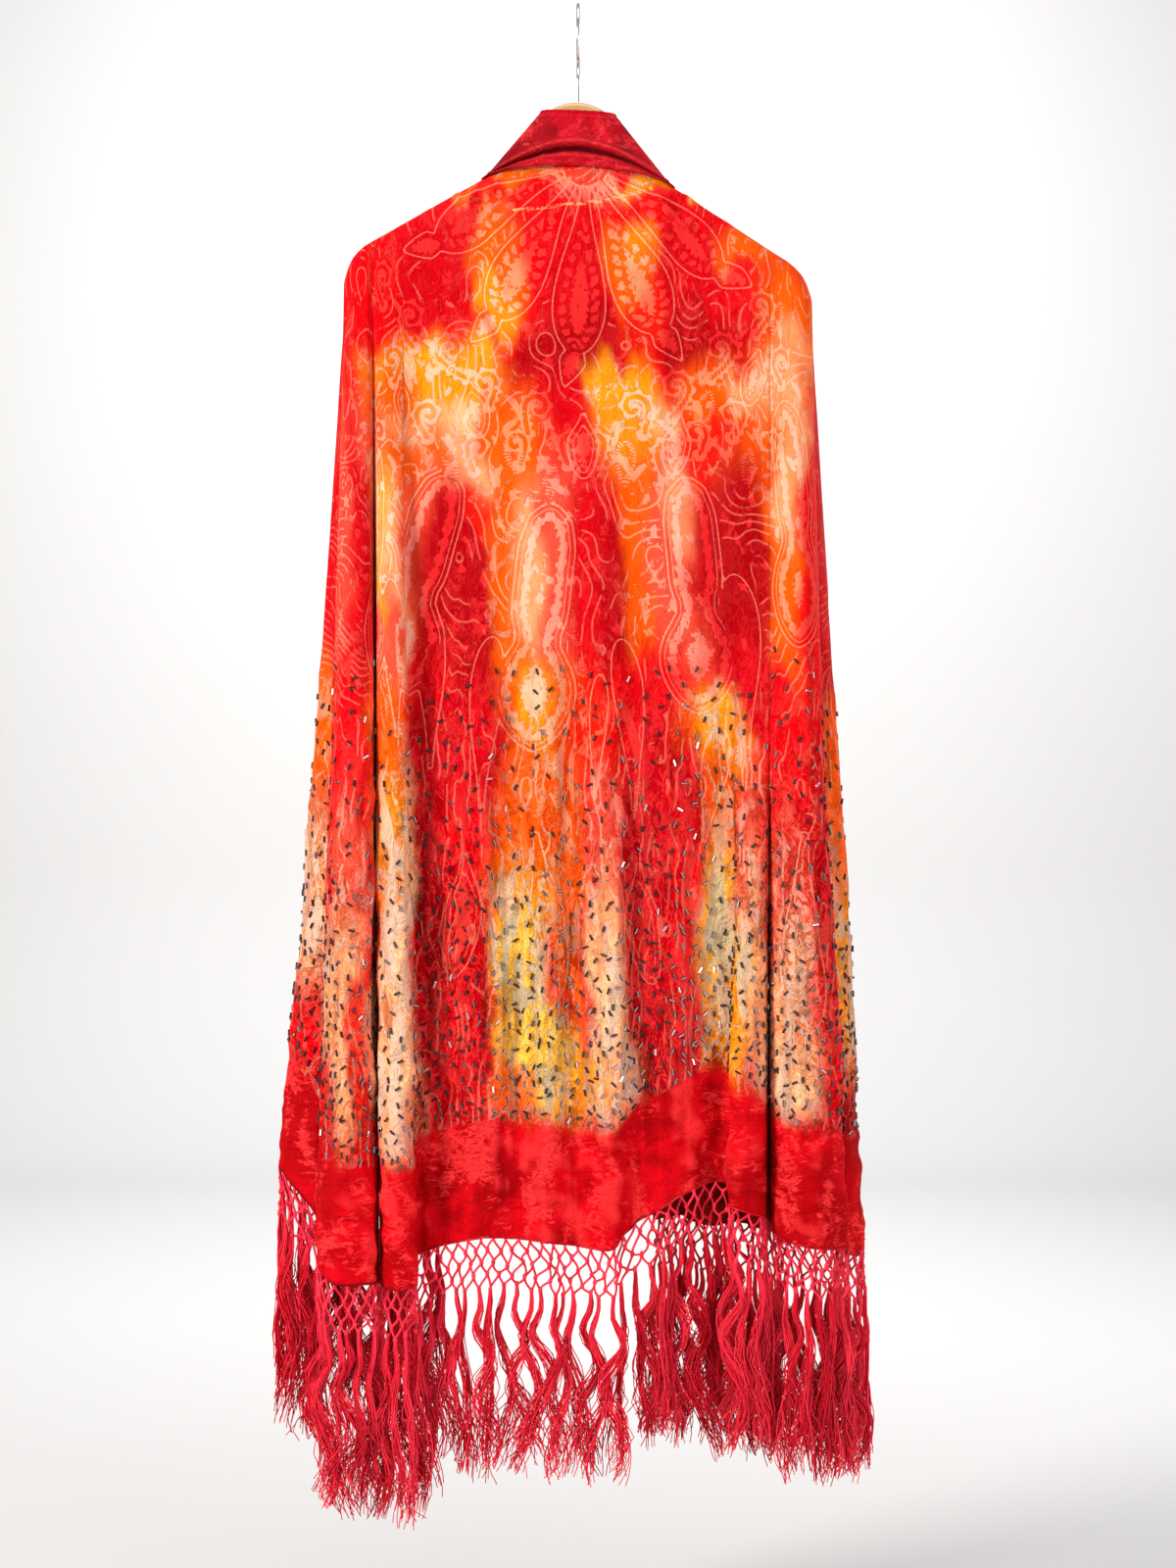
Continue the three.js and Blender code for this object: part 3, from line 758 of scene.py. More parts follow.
@dataclass(frozen=True)
class Figure:
    """One figure: its narrow end, size, heading from straight down and sideways bend."""

    kind: Motif
    x: float
    z: float
    length: float
    width: float
    heading: float = 0
    bend: float = 0

    def _spine(self, share: Array) -> Array:
        """Finds points along the figure's bent middle line.

        Args:
            share: Shares of the way along.

        Returns:
            Points on the flat cloth.
        """
        turn = math.radians(self.heading)
        along = np.array([math.sin(turn), -math.cos(turn)])
        aside = np.array([math.cos(turn), math.sin(turn)])
        bend = self.bend * (np.sin(share * math.pi * 0.9) - 0.3 * share)
        return np.array([self.x, self.z]) + self.length * share[:, None] * along + bend[:, None] * aside

    def _half_width(self, share: Array) -> Array:
        """Gives the figure's half width along its middle line.

        Args:
            share: Shares of the way along.

        Returns:
            Half widths in millimetres.
        """
        if self.kind in (Motif.LEAF, Motif.COMB):
            return 0.5 * self.width * np.sin(np.pi * share**0.8) ** 0.8
        if self.kind is Motif.BOTEH:
            waist = 0.18 * np.exp(-(((share - 0.56) / 0.07) ** 2))
            swell = 0.5 + 0.22 * smoothstep(0, 0.2, share) - waist + 0.32 * smoothstep(0.52, 0.76, share)
            opening = np.sqrt(np.clip(share / 0.06, 0, 1))
            closing = np.clip(1 - np.clip((share - 0.76) / 0.24, 0, 1) ** 1.8, 0, 1) ** 0.62
            return 0.5 * self.width * swell * opening * closing
        if self.kind is Motif.BUD:
            closing = np.clip(1 - np.clip((share - 0.35) / 0.65, 0, 1) ** 1.3, 0, 1) ** 0.9
            return 0.5 * self.width * np.sqrt(np.clip(share / 0.35, 0, 1)) * closing
        first = 0.72 if self.kind is not Motif.VASE else 0.45
        swell = 0.16 + 0.84 * smoothstep(0, first, share)
        closing = np.sqrt(np.clip(1 - np.clip((share - first) / (1 - first), 0, 1) ** 2, 0, 1))
        return 0.5 * self.width * swell * closing

    def outline(self) -> Array:
        """Draws the closed outline, from the narrow end and back.

        Returns:
            Points on the flat cloth.
        """
        if self.kind is Motif.STAR:
            angle = np.linspace(0, 2 * np.pi, 30, endpoint=False)
            petals = 0.66 + 0.34 * np.cos(5 * angle)
            radius = 0.5 * self.length * petals * (1 + 0.2 * np.sin(2 * angle + self.heading))
            return np.stack([self.x + radius * np.sin(angle), self.z + radius * np.cos(angle)], axis=1)
        share = 0.5 - 0.5 * np.cos(np.linspace(0, np.pi, 34))
        spine = self._spine(share)
        ahead = unit(np.gradient(spine, axis=0))
        aside = np.stack([-ahead[:, 1], ahead[:, 0]], axis=1)
        half = self._half_width(share)[:, None]
        return np.concatenate([spine + aside * half, (spine - aside * half)[::-1][1:]])

    def path(self) -> Array:
        """Draws the open line of a curl: a stem that winds into a spiral.

        Returns:
            Points on the flat cloth.
        """
        turn = math.radians(self.heading)
        way = math.copysign(1, self.width)
        angle = np.linspace(0, 3.5 * math.pi / 2, 34)
        radius = 0.5 * abs(self.width) * (1 - 0.8 * angle / angle[-1])
        circle = np.stack([way * radius * np.cos(angle), radius * np.sin(angle)], axis=1)
        share = np.linspace(1, 0.05, 12)[:, None]
        stem = np.concatenate([-0.3 * way * share**1.6, -share], axis=1) * self.length + circle[0]
        rotate = np.array([[math.cos(turn), -math.sin(turn)], [math.sin(turn), math.cos(turn)]])
        return np.concatenate([stem, circle]) @ rotate.T + np.array([self.x, self.z])


class PatternField:
    """Distances to the figures, from which the finish burns the pile, for places on the flat cloth."""

    FAR = 60.0
    MARGIN = 16.0

    def __init__(self, places: Array) -> None:
        """Starts with no figure.

        Args:
            places: Places on the flat cloth, in millimetres.
        """
        count = len(places)
        self.places = places
        plain = Filling()
        self.values = {name: np.full(count, self.FAR) for name in ("shape", "leaf", "curl")}
        self.values.update({name: np.zeros(count) for name in ("beat", "curl_beat")})
        self.values.update({name: np.full(count, float(getattr(plain, name))) for name in self.fillings()})

    @staticmethod
    def fillings() -> tuple[str, ...]:
        """Names the parts of a filling that the finish reads."""
        return ("inner_line", "ring", "cut", "core", "rim")

    def draw(self, figure: Figure) -> None:
        """Adds a figure wherever it is the nearest.

        Args:
            figure: The figure to draw.
        """
        curl = figure.kind is Motif.CURL
        outline = figure.path() if curl else figure.outline()
        low, high = outline.min(axis=0) - self.MARGIN, outline.max(axis=0) + self.MARGIN
        near = np.flatnonzero(((self.places >= low) & (self.places <= high)).all(axis=1))
        if len(near) == 0:
            return
        away, along = outline_distance(self.places[near], outline, closed=not curl)
        name = {Motif.CURL: "curl", Motif.LEAF: "leaf", Motif.STAR: "leaf"}.get(figure.kind, "shape")
        closer = away < self.values[name][near]
        near, away, along = near[closer], away[closer], along[closer]
        self.values[name][near] = away
        if curl:
            self.values["curl_beat"][near] = along / 8
        elif name == "shape":
            self.values["beat"][near] = along / figure.kind.value.pitch
            for part in self.fillings():
                self.values[part][near] = getattr(figure.kind.value, part)


# Figures round the fan: x and z of the narrow end, length, width and heading of each.
FRAMING_FIGURES = {
    Motif.CURL: (
        (-208, -262, 26, -26, 10),
        (-168, -300, 28, -30, 20),
        (-128, -330, 30, -30, 40),
        (-40, -386, 26, -26, -10),
        (52, -386, 26, 26, 10),
        (90, -366, 28, 30, -20),
        (136, -330, 28, 30, -30),
        (176, -290, 26, 28, -20),
        (-196, -340, 22, 24, -10),
        (-92, -362, 22, 22, 0),
        (204, -342, 22, -24, 10),
        (-150, -392, 22, -22, 10),
        (148, -392, 22, 22, -10),
        (16, -420, 20, 18, 0),
        (-8, -420, 20, -18, 0),
        (-100, -424, 22, -22, 0),
        (84, -428, 22, -22, 0),
        (112, -410, 20, 20, 0),
        (-62, -420, 20, 20, 0),
        (188, -420, 20, 20, 0),
        (-216, -410, 20, -20, 0),
    ),
    Motif.VASE: (
        (4, -392, 62, 30, 0),
        (-110, -360, 56, 30, 14),
        (96, -394, 56, 28, -8),
        (176, -330, 56, 28, -14),
        (-186, -356, 50, 26, 10),
    ),
    Motif.COMB: (
        (-150, -322, 44, 26, 40),
        (-66, -404, 52, 26, 6),
        (44, -412, 56, 28, 0),
        (128, -366, 50, 26, -20),
        (204, -282, 44, 24, -20),
        (-24, -436, 44, 22, -8),
        (-130, -420, 46, 22, 10),
        (166, -420, 46, 22, -6),
    ),
}

# Figures of the middle and lower back: the same, and the bend of each.
HANGING_FIGURES = {
    Motif.BOTEH: (
        (-128, -446, 222, 74, -13, -8),
        (-26, -478, 236, 78, -5, -5),
        (100, -452, 226, 74, 4, 7),
        (206, -380, 236, 62, 4, 8),
        (-226, -420, 236, 54, -2, 0),
    ),
    Motif.ARCH: (
        (-146, -730, -160, 30, 2, 4),
        (-96, -770, -166, 32, -4, -4),
        (54, -770, -164, 30, 5, 5),
        (14, -760, -120, 18, -3, 0),
        (166, -710, -166, 40, 6, 6),
        (122, -800, -110, 26, -8, 0),
        (-196, -700, -150, 24, 2, 0),
    ),
    Motif.VASE: (
        (-112, -810, 120, 34, -6, 6),
        (60, -820, 116, 34, 8, -6),
    ),
    Motif.PETAL: (
        (-44, -790, 170, 44, 2, 8),
        (132, -860, 150, 40, -4, 6),
        (-186, -790, 170, 36, 0, 6),
        (226, -790, 190, 40, 0, -6),
    ),
}


@dataclass(frozen=True)
class PatternPlan:
    """Where the figures lie on the back: a fan below the neck, curls round it, and botehs below."""

    fan_x: float = 8
    fan_z: float = -152
    seed: int = 5

    def fan(self) -> list[Figure]:
        """Spreads petals below the neck, each with a bud at its tip.

        Returns:
            The figures.
        """
        made = []
        petals = ((-62, 146, 48), (-31, 150, 54), (-3, 160, 52), (22, 152, 52), (50, 142, 48))
        for heading, length, width in petals:
            turn = math.radians(heading)
            along = np.array([math.sin(turn), -math.cos(turn)])
            start = np.array([self.fan_x, self.fan_z]) + 24 * along
            made.append(Figure(Motif.PETAL, *start, length, width, heading, bend=heading * 0.1))
            lean = 16 if heading >= 0 else -16
            tip = start + (length - 8) * along
            made.append(Figure(Motif.BUD, *tip, 42, 26, heading + lean))
        for heading in np.arange(-84, 90, 8.0):
            turn = math.radians(heading)
            x, z = self.fan_x + 21 * math.sin(turn), self.fan_z - 21 * math.cos(turn)
            made.append(Figure(Motif.LEAF, x, z, 34 + 10 * math.cos(heading), 3.4, heading))
        return made

    def curls(self) -> list[Figure]:
        """Rings the fan with fern curls, vases and combs.

        Returns:
            The figures.
        """
        made = self.listed(FRAMING_FIGURES)
        for x, z, _, width, heading in FRAMING_FIGURES[Motif.CURL]:
            side = math.copysign(1, width)
            made.append(Figure(Motif.LEAF, x + 20 * side, z - 12, 24, 7, heading + 34 * side, 3 * side))
            made.append(Figure(Motif.LEAF, x - 12 * side, z - 20, 26, 6, heading - 24 * side, -3 * side))
        return made

    @staticmethod
    def listed(table: dict[Motif, tuple[tuple, ...]]) -> list[Figure]:
        """Reads a table of figures."""
        return [Figure(kind, *row) for kind, rows in table.items() for row in rows]

    def sprigs(self, low_x: float, high_x: float) -> list[Figure]:
        """Scatters small bent leaves in loose upright rows.

        Args:
            low_x: Left end of the stretch.
            high_x: Right end of the stretch.

        Returns:
            The leaves.
        """
        rng = np.random.default_rng(self.seed)
        made = []
        for z in np.arange(-345, -1060, -21):
            for x in np.arange(low_x, high_x, 19):
                if rng.random() < 0.55:
                    continue
                shift = rng.uniform(-8, 8, 2)
                size = rng.uniform(8, 24)
                width, heading = rng.uniform(3, 7), rng.normal(0, 34)
                bend = rng.uniform(-6, 6)
                kind = Motif.STAR if rng.random() < 0.5 else Motif.LEAF
                made.append(Figure(kind, x + shift[0], z + shift[1], min(size, 15), width, heading, bend))
        return made

    def figures(self) -> list[Figure]:
        """Lists every figure of the back and sides."""
        return self.fan() + self.curls() + self.listed(HANGING_FIGURES) + self.sprigs(-290, 290)

    def front_figures(self, low_x: float, high_x: float) -> list[Figure]:
        """Repeats the long botehs and curls over a front panel.

        Args:
            low_x: Left end of the panel on the flat cloth.
            high_x: Right end of the panel on the flat cloth.

        Returns:
            The figures.
        """
        made = self.sprigs(low_x, high_x)
        for place, x in enumerate(np.arange(low_x + 35, high_x - 20, 88)):
            made.append(Figure(Motif.BOTEH, x, -330 - 26 * (place % 2), 236, 70, 3, 6))
            made.append(Figure(Motif.CURL, x + 10, -260, 26, 28, 10))
            made.append(Figure(Motif.BOTEH, x + 40, -640, 216, 60, -3, -6))
            made.append(Figure(Motif.ARCH, x, -770, -140, 30, 3, 0))
            made.append(Figure(Motif.COMB, x + 44, -300, 46, 24, 0))
        return made


# The dye


def from_screen(*levels: int) -> Array:
    """Turns screen levels from 0 to 255 into linear light."""
    share = np.array(levels) / 255
    return np.where(share <= 0.04045, share / 12.92, ((share + 0.055) / 1.055) ** 2.4)


class Dye(Enum):
    """Colours of the dye bath on screen: on the pile, and on the bare ground."""

    DEEP_RED = ((160, 0, 10), (202, 30, 32))
    CRIMSON = ((192, 0, 16), (214, 38, 36))
    RED = ((220, 0, 12), (226, 54, 46))
    SCARLET = ((232, 24, 4), (228, 84, 58))
    ORANGE = ((240, 84, 0), (214, 130, 90))
    AMBER = ((243, 142, 12), (212, 174, 136))
    YELLOW = ((250, 188, 64), (196, 172, 132))
    CORAL = ((232, 74, 52), (228, 134, 112))
    PEACH = ((246, 156, 102), (226, 176, 148))
    CREAM = ((248, 190, 136), (228, 184, 154))

    def pair(self) -> Array:
        """Gives both colours as linear light, one after the other."""
        return np.concatenate([from_screen(*part) for part in self.value])


@dataclass(frozen=True)
class Pool:
    """A soft pool of dye: its middle, half sizes, colour and strength."""

    x: float
    z: float
    half_width: float
    half_height: float
    dye: Dye
    strength: float = 1.0


def pools(*rows: tuple) -> tuple[Pool, ...]:
    """Reads a table of pools, with a dye's name in its fifth column."""
    return tuple(Pool(*row[:4], Dye[row[4]], *row[5:]) for row in rows)


BACK_POOLS = pools(
    (0, -200, 130, 60, "RED"),
    (-70, -172, 60, 12, "ORANGE"),
    (84, -170, 50, 13, "AMBER"),
    (14, -178, 34, 22, "CORAL", 0.7),
    (-150, -250, 90, 62, "CRIMSON"),
    (-206, -300, 40, 90, "RED"),
    (-74, -254, 24, 52, "ORANGE"),
    (-82, -292, 20, 26, "AMBER", 0.8),
    (-6, -270, 32, 80, "CRIMSON"),
    (48, -262, 24, 46, "ORANGE"),
    (58, -236, 14, 26, "AMBER", 0.7),
    (62, -314, 18, 24, "SCARLET", 0.9),
    (110, -250, 46, 46, "CRIMSON"),
    (170, -232, 34, 26, "ORANGE"),
    (206, -320, 34, 70, "ORANGE"),
    (204, -350, 22, 40, "PEACH", 0.7),
    (-10, -342, 66, 50, "DEEP_RED"),
    (118, -322, 40, 34, "DEEP_RED"),
    (-140, -352, 60, 36, "AMBER"),
    (-176, -390, 30, 50, "ORANGE"),
    (-116, -374, 34, 30, "AMBER"),
    (-136, -404, 40, 26, "PEACH", 0.85),
    (-110, -392, 16, 18, "CREAM", 0.6),
    (-200, -430, 20, 60, "CORAL", 0.7),
    (40, -366, 34, 26, "AMBER"),
    (50, -410, 40, 60, "AMBER", 0.9),
    (86, -404, 18, 30, "PEACH", 0.75),
    (-20, -400, 30, 40, "CRIMSON"),
    (-12, -446, 24, 40, "RED"),
    (-60, -420, 34, 50, "ORANGE"),
    (160, -372, 60, 40, "ORANGE"),
    (166, -356, 26, 22, "PEACH", 0.7),
    (196, -402, 24, 50, "PEACH", 0.85),
    (136, -424, 34, 40, "SCARLET"),
    (172, -450, 34, 60, "ORANGE"),
    (-104, -446, 30, 30, "PEACH", 0.8),
    (-150, -460, 26, 60, "ORANGE"),
    (-186, -520, 16, 80, "AMBER"),
    (-172, -560, 14, 90, "PEACH", 0.9),
    (-148, -520, 18, 80, "CORAL", 0.9),
    (-112, -520, 36, 60, "DEEP_RED"),
    (-108, -590, 44, 90, "DEEP_RED"),
    (-92, -480, 20, 30, "SCARLET", 0.8),
    (-66, -540, 20, 130, "ORANGE"),
    (-36, -540, 26, 80, "PEACH", 0.85),
    (-16, -530, 20, 90, "CORAL"),
    (-44, -630, 22, 60, "PEACH", 0.7),
    (-14, -620, 20, 60, "CORAL", 0.9),
    (12, -570, 20, 150, "CRIMSON"),
    (34, -600, 20, 130, "DEEP_RED", 0.9),
    (60, -540, 18, 110, "ORANGE"),
    (90, -520, 26, 90, "CORAL"),
    (104, -610, 28, 60, "CORAL"),
    (98, -480, 20, 40, "PEACH", 0.6),
    (146, -540, 40, 120, "DEEP_RED"),
    (196, -520, 18, 130, "ORANGE"),
    (200, -460, 16, 60, "PEACH", 0.7),
    (168, -650, 30, 50, "CRIMSON"),
    (-60, -660, 26, 50, "ORANGE"),
    (-36, -690, 30, 40, "AMBER", 0.9),
    (-10, -690, 18, 40, "ORANGE"),
    (68, -680, 46, 50, "RED"),
    (112, -700, 22, 30, "ORANGE"),
    (-120, -720, 50, 80, "CRIMSON"),
    (10, -760, 30, 110, "SCARLET"),
    (74, -770, 44, 90, "CRIMSON"),
    (-126, -900, 48, 170, "CRIMSON"),
    (-112, -860, 20, 120, "RED", 0.8),
    (-46, -760, 36, 50, "ORANGE"),
    (-44, -850, 40, 80, "ORANGE"),
    (-54, -900, 26, 90, "AMBER"),
    (-52, -950, 24, 90, "YELLOW"),
    (-30, -1010, 26, 50, "YELLOW"),
    (-62, -1036, 24, 24, "ORANGE", 0.9),
    (-6, -860, 12, 120, "ORANGE", 0.9),
    (24, -820, 18, 80, "CORAL", 0.9),
    (28, -900, 18, 90, "PEACH"),
    (26, -990, 18, 90, "CREAM", 0.9),
    (34, -1050, 26, 60, "PEACH", 0.9),
    (0, -1040, 24, 30, "AMBER", 0.8),
    (84, -910, 40, 170, "CRIMSON"),
    (102, -860, 26, 80, "RED", 0.8),
    (136, -700, 20, 40, "AMBER"),
    (146, -790, 24, 90, "ORANGE"),
    (146, -900, 28, 90, "YELLOW"),
    (140, -960, 22, 60, "AMBER"),
    (168, -800, 22, 90, "CORAL"),
    (176, -900, 20, 110, "PEACH"),
    (190, -780, 20, 140, "RED", 0.8),
    (198, -880, 20, 90, "CORAL", 0.85),
    (206, -980, 30, 100, "PEACH"),
    (196, -1030, 30, 40, "CREAM", 0.7),
    (236, -950, 12, 70, "RED", 0.9),
    (-214, -560, 16, 170, "CRIMSON"),
    (-226, -500, 10, 130, "CORAL", 0.7),
    (-216, -720, 20, 110, "RED"),
    (-222, -850, 20, 90, "CORAL"),
    (-226, -970, 22, 110, "PEACH"),
    (-206, -980, 10, 100, "SCARLET", 0.9),
    (-180, -620, 12, 60, "CORAL"),
    (-180, -720, 16, 90, "ORANGE"),
    (-178, -830, 16, 80, "AMBER", 0.9),
    (-174, -950, 18, 130, "PEACH"),
    (-172, -1040, 18, 60, "PEACH", 0.9),
    (-164, -900, 8, 160, "CREAM", 0.6),
)

FRONT_POOLS = pools(
    (-252, -420, 60, 260, "CRIMSON"),
    (-262, -690, 40, 80, "ORANGE"),
    (-270, -850, 40, 90, "PEACH"),
    (-280, -990, 70, 60, "RED"),
    (-150, -500, 50, 160, "ORANGE", 0.8),
    (-90, -380, 40, 120, "DEEP_RED"),
    (-170, -820, 50, 130, "RED"),
    (-120, -900, 34, 130, "AMBER", 0.9),
    (-210, -940, 30, 110, "PEACH", 0.8),
    (250, -500, 50, 200, "CRIMSON"),
    (262, -760, 40, 90, "ORANGE"),
    (266, -930, 30, 100, "AMBER", 0.9),
    (150, -480, 50, 170, "ORANGE", 0.8),
    (90, -400, 40, 120, "DEEP_RED"),
    (110, -860, 40, 140, "AMBER", 0.9),
    (170, -880, 34, 140, "CRIMSON"),
    (215, -900, 30, 120, "PEACH", 0.8),
)


@dataclass(frozen=True)
class DyeBath:
    """Lays pools of dye over a ground colour, with wandering edges."""

    pools: tuple[Pool, ...]
    ground: Dye = Dye.RED
    wander: float = 15
    softness: float = 0.42

    def colours(self, x: Array, z: Array) -> Array:
        """Mixes the colours of places.

        Args:
            x: Sideways places.
            z: Heights.

        Returns:
            The pile's and the bare ground's red, green and blue for each place.
        """
        shift_x = self.wander * (ValueNoise(11).fractal(x / 34, z / 60, 4) - 0.5) * 2
        shift_z = 2.4 * self.wander * (ValueNoise(12).fractal(x / 22, z / 90, 4) - 0.5) * 2
        colours = np.tile(self.ground.pair(), (len(x), 1))
        for pool in self.pools:
            aside, below = x + shift_x - pool.x, z + shift_z - pool.z
            away = np.hypot(aside / pool.half_width, below / pool.half_height)
            share = pool.strength * (1 - smoothstep(1 - self.softness, 1 + self.softness, away))
            colours = lerp(colours, pool.dye.pair(), share[:, None])
        return colours


# Shader expressions

Scalar = Union[float, int, "Level"]
Paint = Union[Colour, "Level"]


def on_sockets(operation: str) -> Callable[..., "Level"]:
    """Makes a method that puts a Math node on a level and other values.

    Args:
        operation: The node's operation.

    Returns:
        The method.
    """

    def method(self: "Level", *others: Scalar) -> "Level":
        """Adds the node."""
        return self.shader.node("ShaderNodeMath", {"operation": operation}, dict(enumerate((self, *others))))

    return method


class Level:
    """A number socket of a shader that takes part in Python arithmetic."""

    def __init__(self, shader: "Shader", socket: bpy.types.NodeSocket) -> None:
        """Wraps a socket."""
        self.shader = shader
        self.socket = socket

    __add__ = __radd__ = on_sockets("ADD")
    __mul__ = __rmul__ = on_sockets("MULTIPLY")
    __sub__ = on_sockets("SUBTRACT")
    __truediv__ = on_sockets("DIVIDE")
    __abs__ = on_sockets("ABSOLUTE")
    fraction = on_sockets("FRACT")
    cosine = on_sockets("COSINE")
    power = on_sockets("POWER")
    larger = on_sockets("MAXIMUM")
    smaller = on_sockets("MINIMUM")

    def __rsub__(self, other: Scalar) -> "Level":
        """Subtracts this from a number."""
        return self * -1 + other

    def ramp(self, low: Scalar, high: Scalar) -> "Level":
        """Rises smoothly from 0 to 1.

        Args:
            low: Where it starts to rise.
            high: Where it reaches 1.

        Returns:
            The risen level.
        """
        settings = {"interpolation_type": "SMOOTHSTEP", "clamp": True}
        inputs = {"Value": self, "From Min": low, "From Max": high}
        return self.shader.node("ShaderNodeMapRange", settings, inputs)


class Shader:
    """A material's node tree, built from values and expressions."""

    def __init__(self, name: str) -> None:
        """Starts a material with nothing but its output.

        Args:
            name: Name to give it.
        """
        self.material = bpy.data.materials.new(name)
        self.material.use_nodes = True
        self.tree = self.material.node_tree
        self.tree.nodes.clear()
        self.output = self.tree.nodes.new("ShaderNodeOutputMaterial")

    def node(
        self,
        kind: str,
        settings: Optional[dict] = None,
        inputs: Optional[dict] = None,
        output: Union[int, str] = 0,
    ) -> Level:
        """Adds a node.

        Args:
            kind: The node's type.
            settings: Its properties, set first; "stops" holds a ramp's places and colours.
            inputs: Values or levels for its sockets, by name or number.
            output: The socket to return, by name or number.

        Returns:
            The output socket as a level.
        """
        made = self.tree.nodes.new(kind)
        for name, value in (settings or {}).items():
            if name == "stops":
                self._set_stops(made.color_ramp, value)
            else:
                setattr(made, name, value)
        for key, value in (inputs or {}).items():
            if isinstance(value, Level):
                self.tree.links.new(value.socket, made.inputs[key])
            else:
                made.inputs[key].default_value = value
        return Level(self, made.outputs[output])

    @staticmethod
    def _set_stops(ramp: bpy.types.ColorRamp, stops: Iterable[tuple[float, tuple]]) -> None:
        """Replaces a ramp's stops.

        Args:
            ramp: The ramp.
            stops: Places and colours.
        """
        stops = list(stops)
        while len(ramp.elements) < len(stops):
            ramp.elements.new(1)
        for element, (place, colour) in zip(ramp.elements, stops):
            element.position = place
            element.color = (*colour, 1)

    def value(self, name: str) -> Level:
        """Reads a number stored on the mesh."""
        return self.node("ShaderNodeAttribute", {"attribute_name": name}, output="Fac")

    def colour(self, name: str) -> Level:
        """Reads a colour stored on the mesh."""
        return self.node("ShaderNodeAttribute", {"attribute_name": name}, output="Color")

    def cloth_noise(self, across: float, down: float, scale: float, *more: float) -> Level:
        """Reads noise on the flat cloth, stretched by two factors.

        Args:
            across: Factor across the cloth.
            down: Factor down the cloth.
            scale: Size of the noise in repeats for each metre.
            more: Detail, roughness and distortion, as for noise.

        Returns:
            The noise.
        """
        flat = self.node("ShaderNodeUVMap", {"uv_map": "cloth"})
        inputs = {"Vector": flat, "Scale": (across, down, 1)}
        return self.noise(self.node("ShaderNodeMapping", {"vector_type": "POINT"}, inputs), scale, *more)

    def solid_place(self, scale: tuple[float, ...] = (1, 1, 1)) -> Level:
        """Gives the place in the model's frame in metres, stretched by three factors."""
        place = self.node("ShaderNodeTexCoord", output="Object")
        return self.node("ShaderNodeMapping", {"vector_type": "POINT"}, {"Vector": place, "Scale": scale})

    def noise(
        self, place: Level, scale: float, detail: float = 2, rough: float = 0.5, warp: float = 0
    ) -> Level:
        """Reads fractal noise between 0 and 1."""
        inputs = {"Vector": place, "Scale": scale, "Detail": detail, "Roughness": rough, "Distortion": warp}
        return self.node("ShaderNodeTexNoise", {"noise_dimensions": "3D"}, inputs)

    def mix(self, share: Scalar, low: Paint, high: Paint, blend: str = "MIX") -> Level:
        """Mixes two colours.

        Args:
            share: Share of the second colour.
            low: Colour at share 0.
            high: Colour at share 1.
            blend: How they blend.

        Returns:
            The mixed colour.
        """
        low, high = ((*part, 1) if isinstance(part, tuple) else part for part in (low, high))
        settings = {"data_type": "RGBA", "blend_type": blend}
        return self.node("ShaderNodeMix", settings, {0: share, 6: low, 7: high}, output=2)

    def bump(self, height: Level, strength: float, distance: float, under: Optional[Level] = None) -> Level:
        """Turns a height into a normal, on top of another one.

        Args:
            height: Height to read.
            strength: How strongly it shows.
            distance: Metres for a height of 1.
            under: Normal to build on.

        Returns:
            The normal.
        """
        links = {} if under is None else {"Normal": under}
        links.update({"Height": height, "Strength": strength, "Distance": distance})
        return self.node("ShaderNodeBump", {}, links)

    def finish(self, **inputs: Union[float, tuple, Level]) -> Material:
        """Closes the material with a Principled BSDF.

        Args:
            inputs: Values or levels for its sockets, with underscores for spaces.

        Returns:
            The material.
        """
        named = {name.replace("_", " "): value for name, value in inputs.items()}
        for name, value in named.items():
            if isinstance(value, tuple) and len(value) == 3:
                named[name] = (*value, 1)
        surface = self.node("ShaderNodeBsdfPrincipled", {}, named)
        self.tree.links.new(surface.socket, self.output.inputs["Surface"])
        return self.material


# Finishes


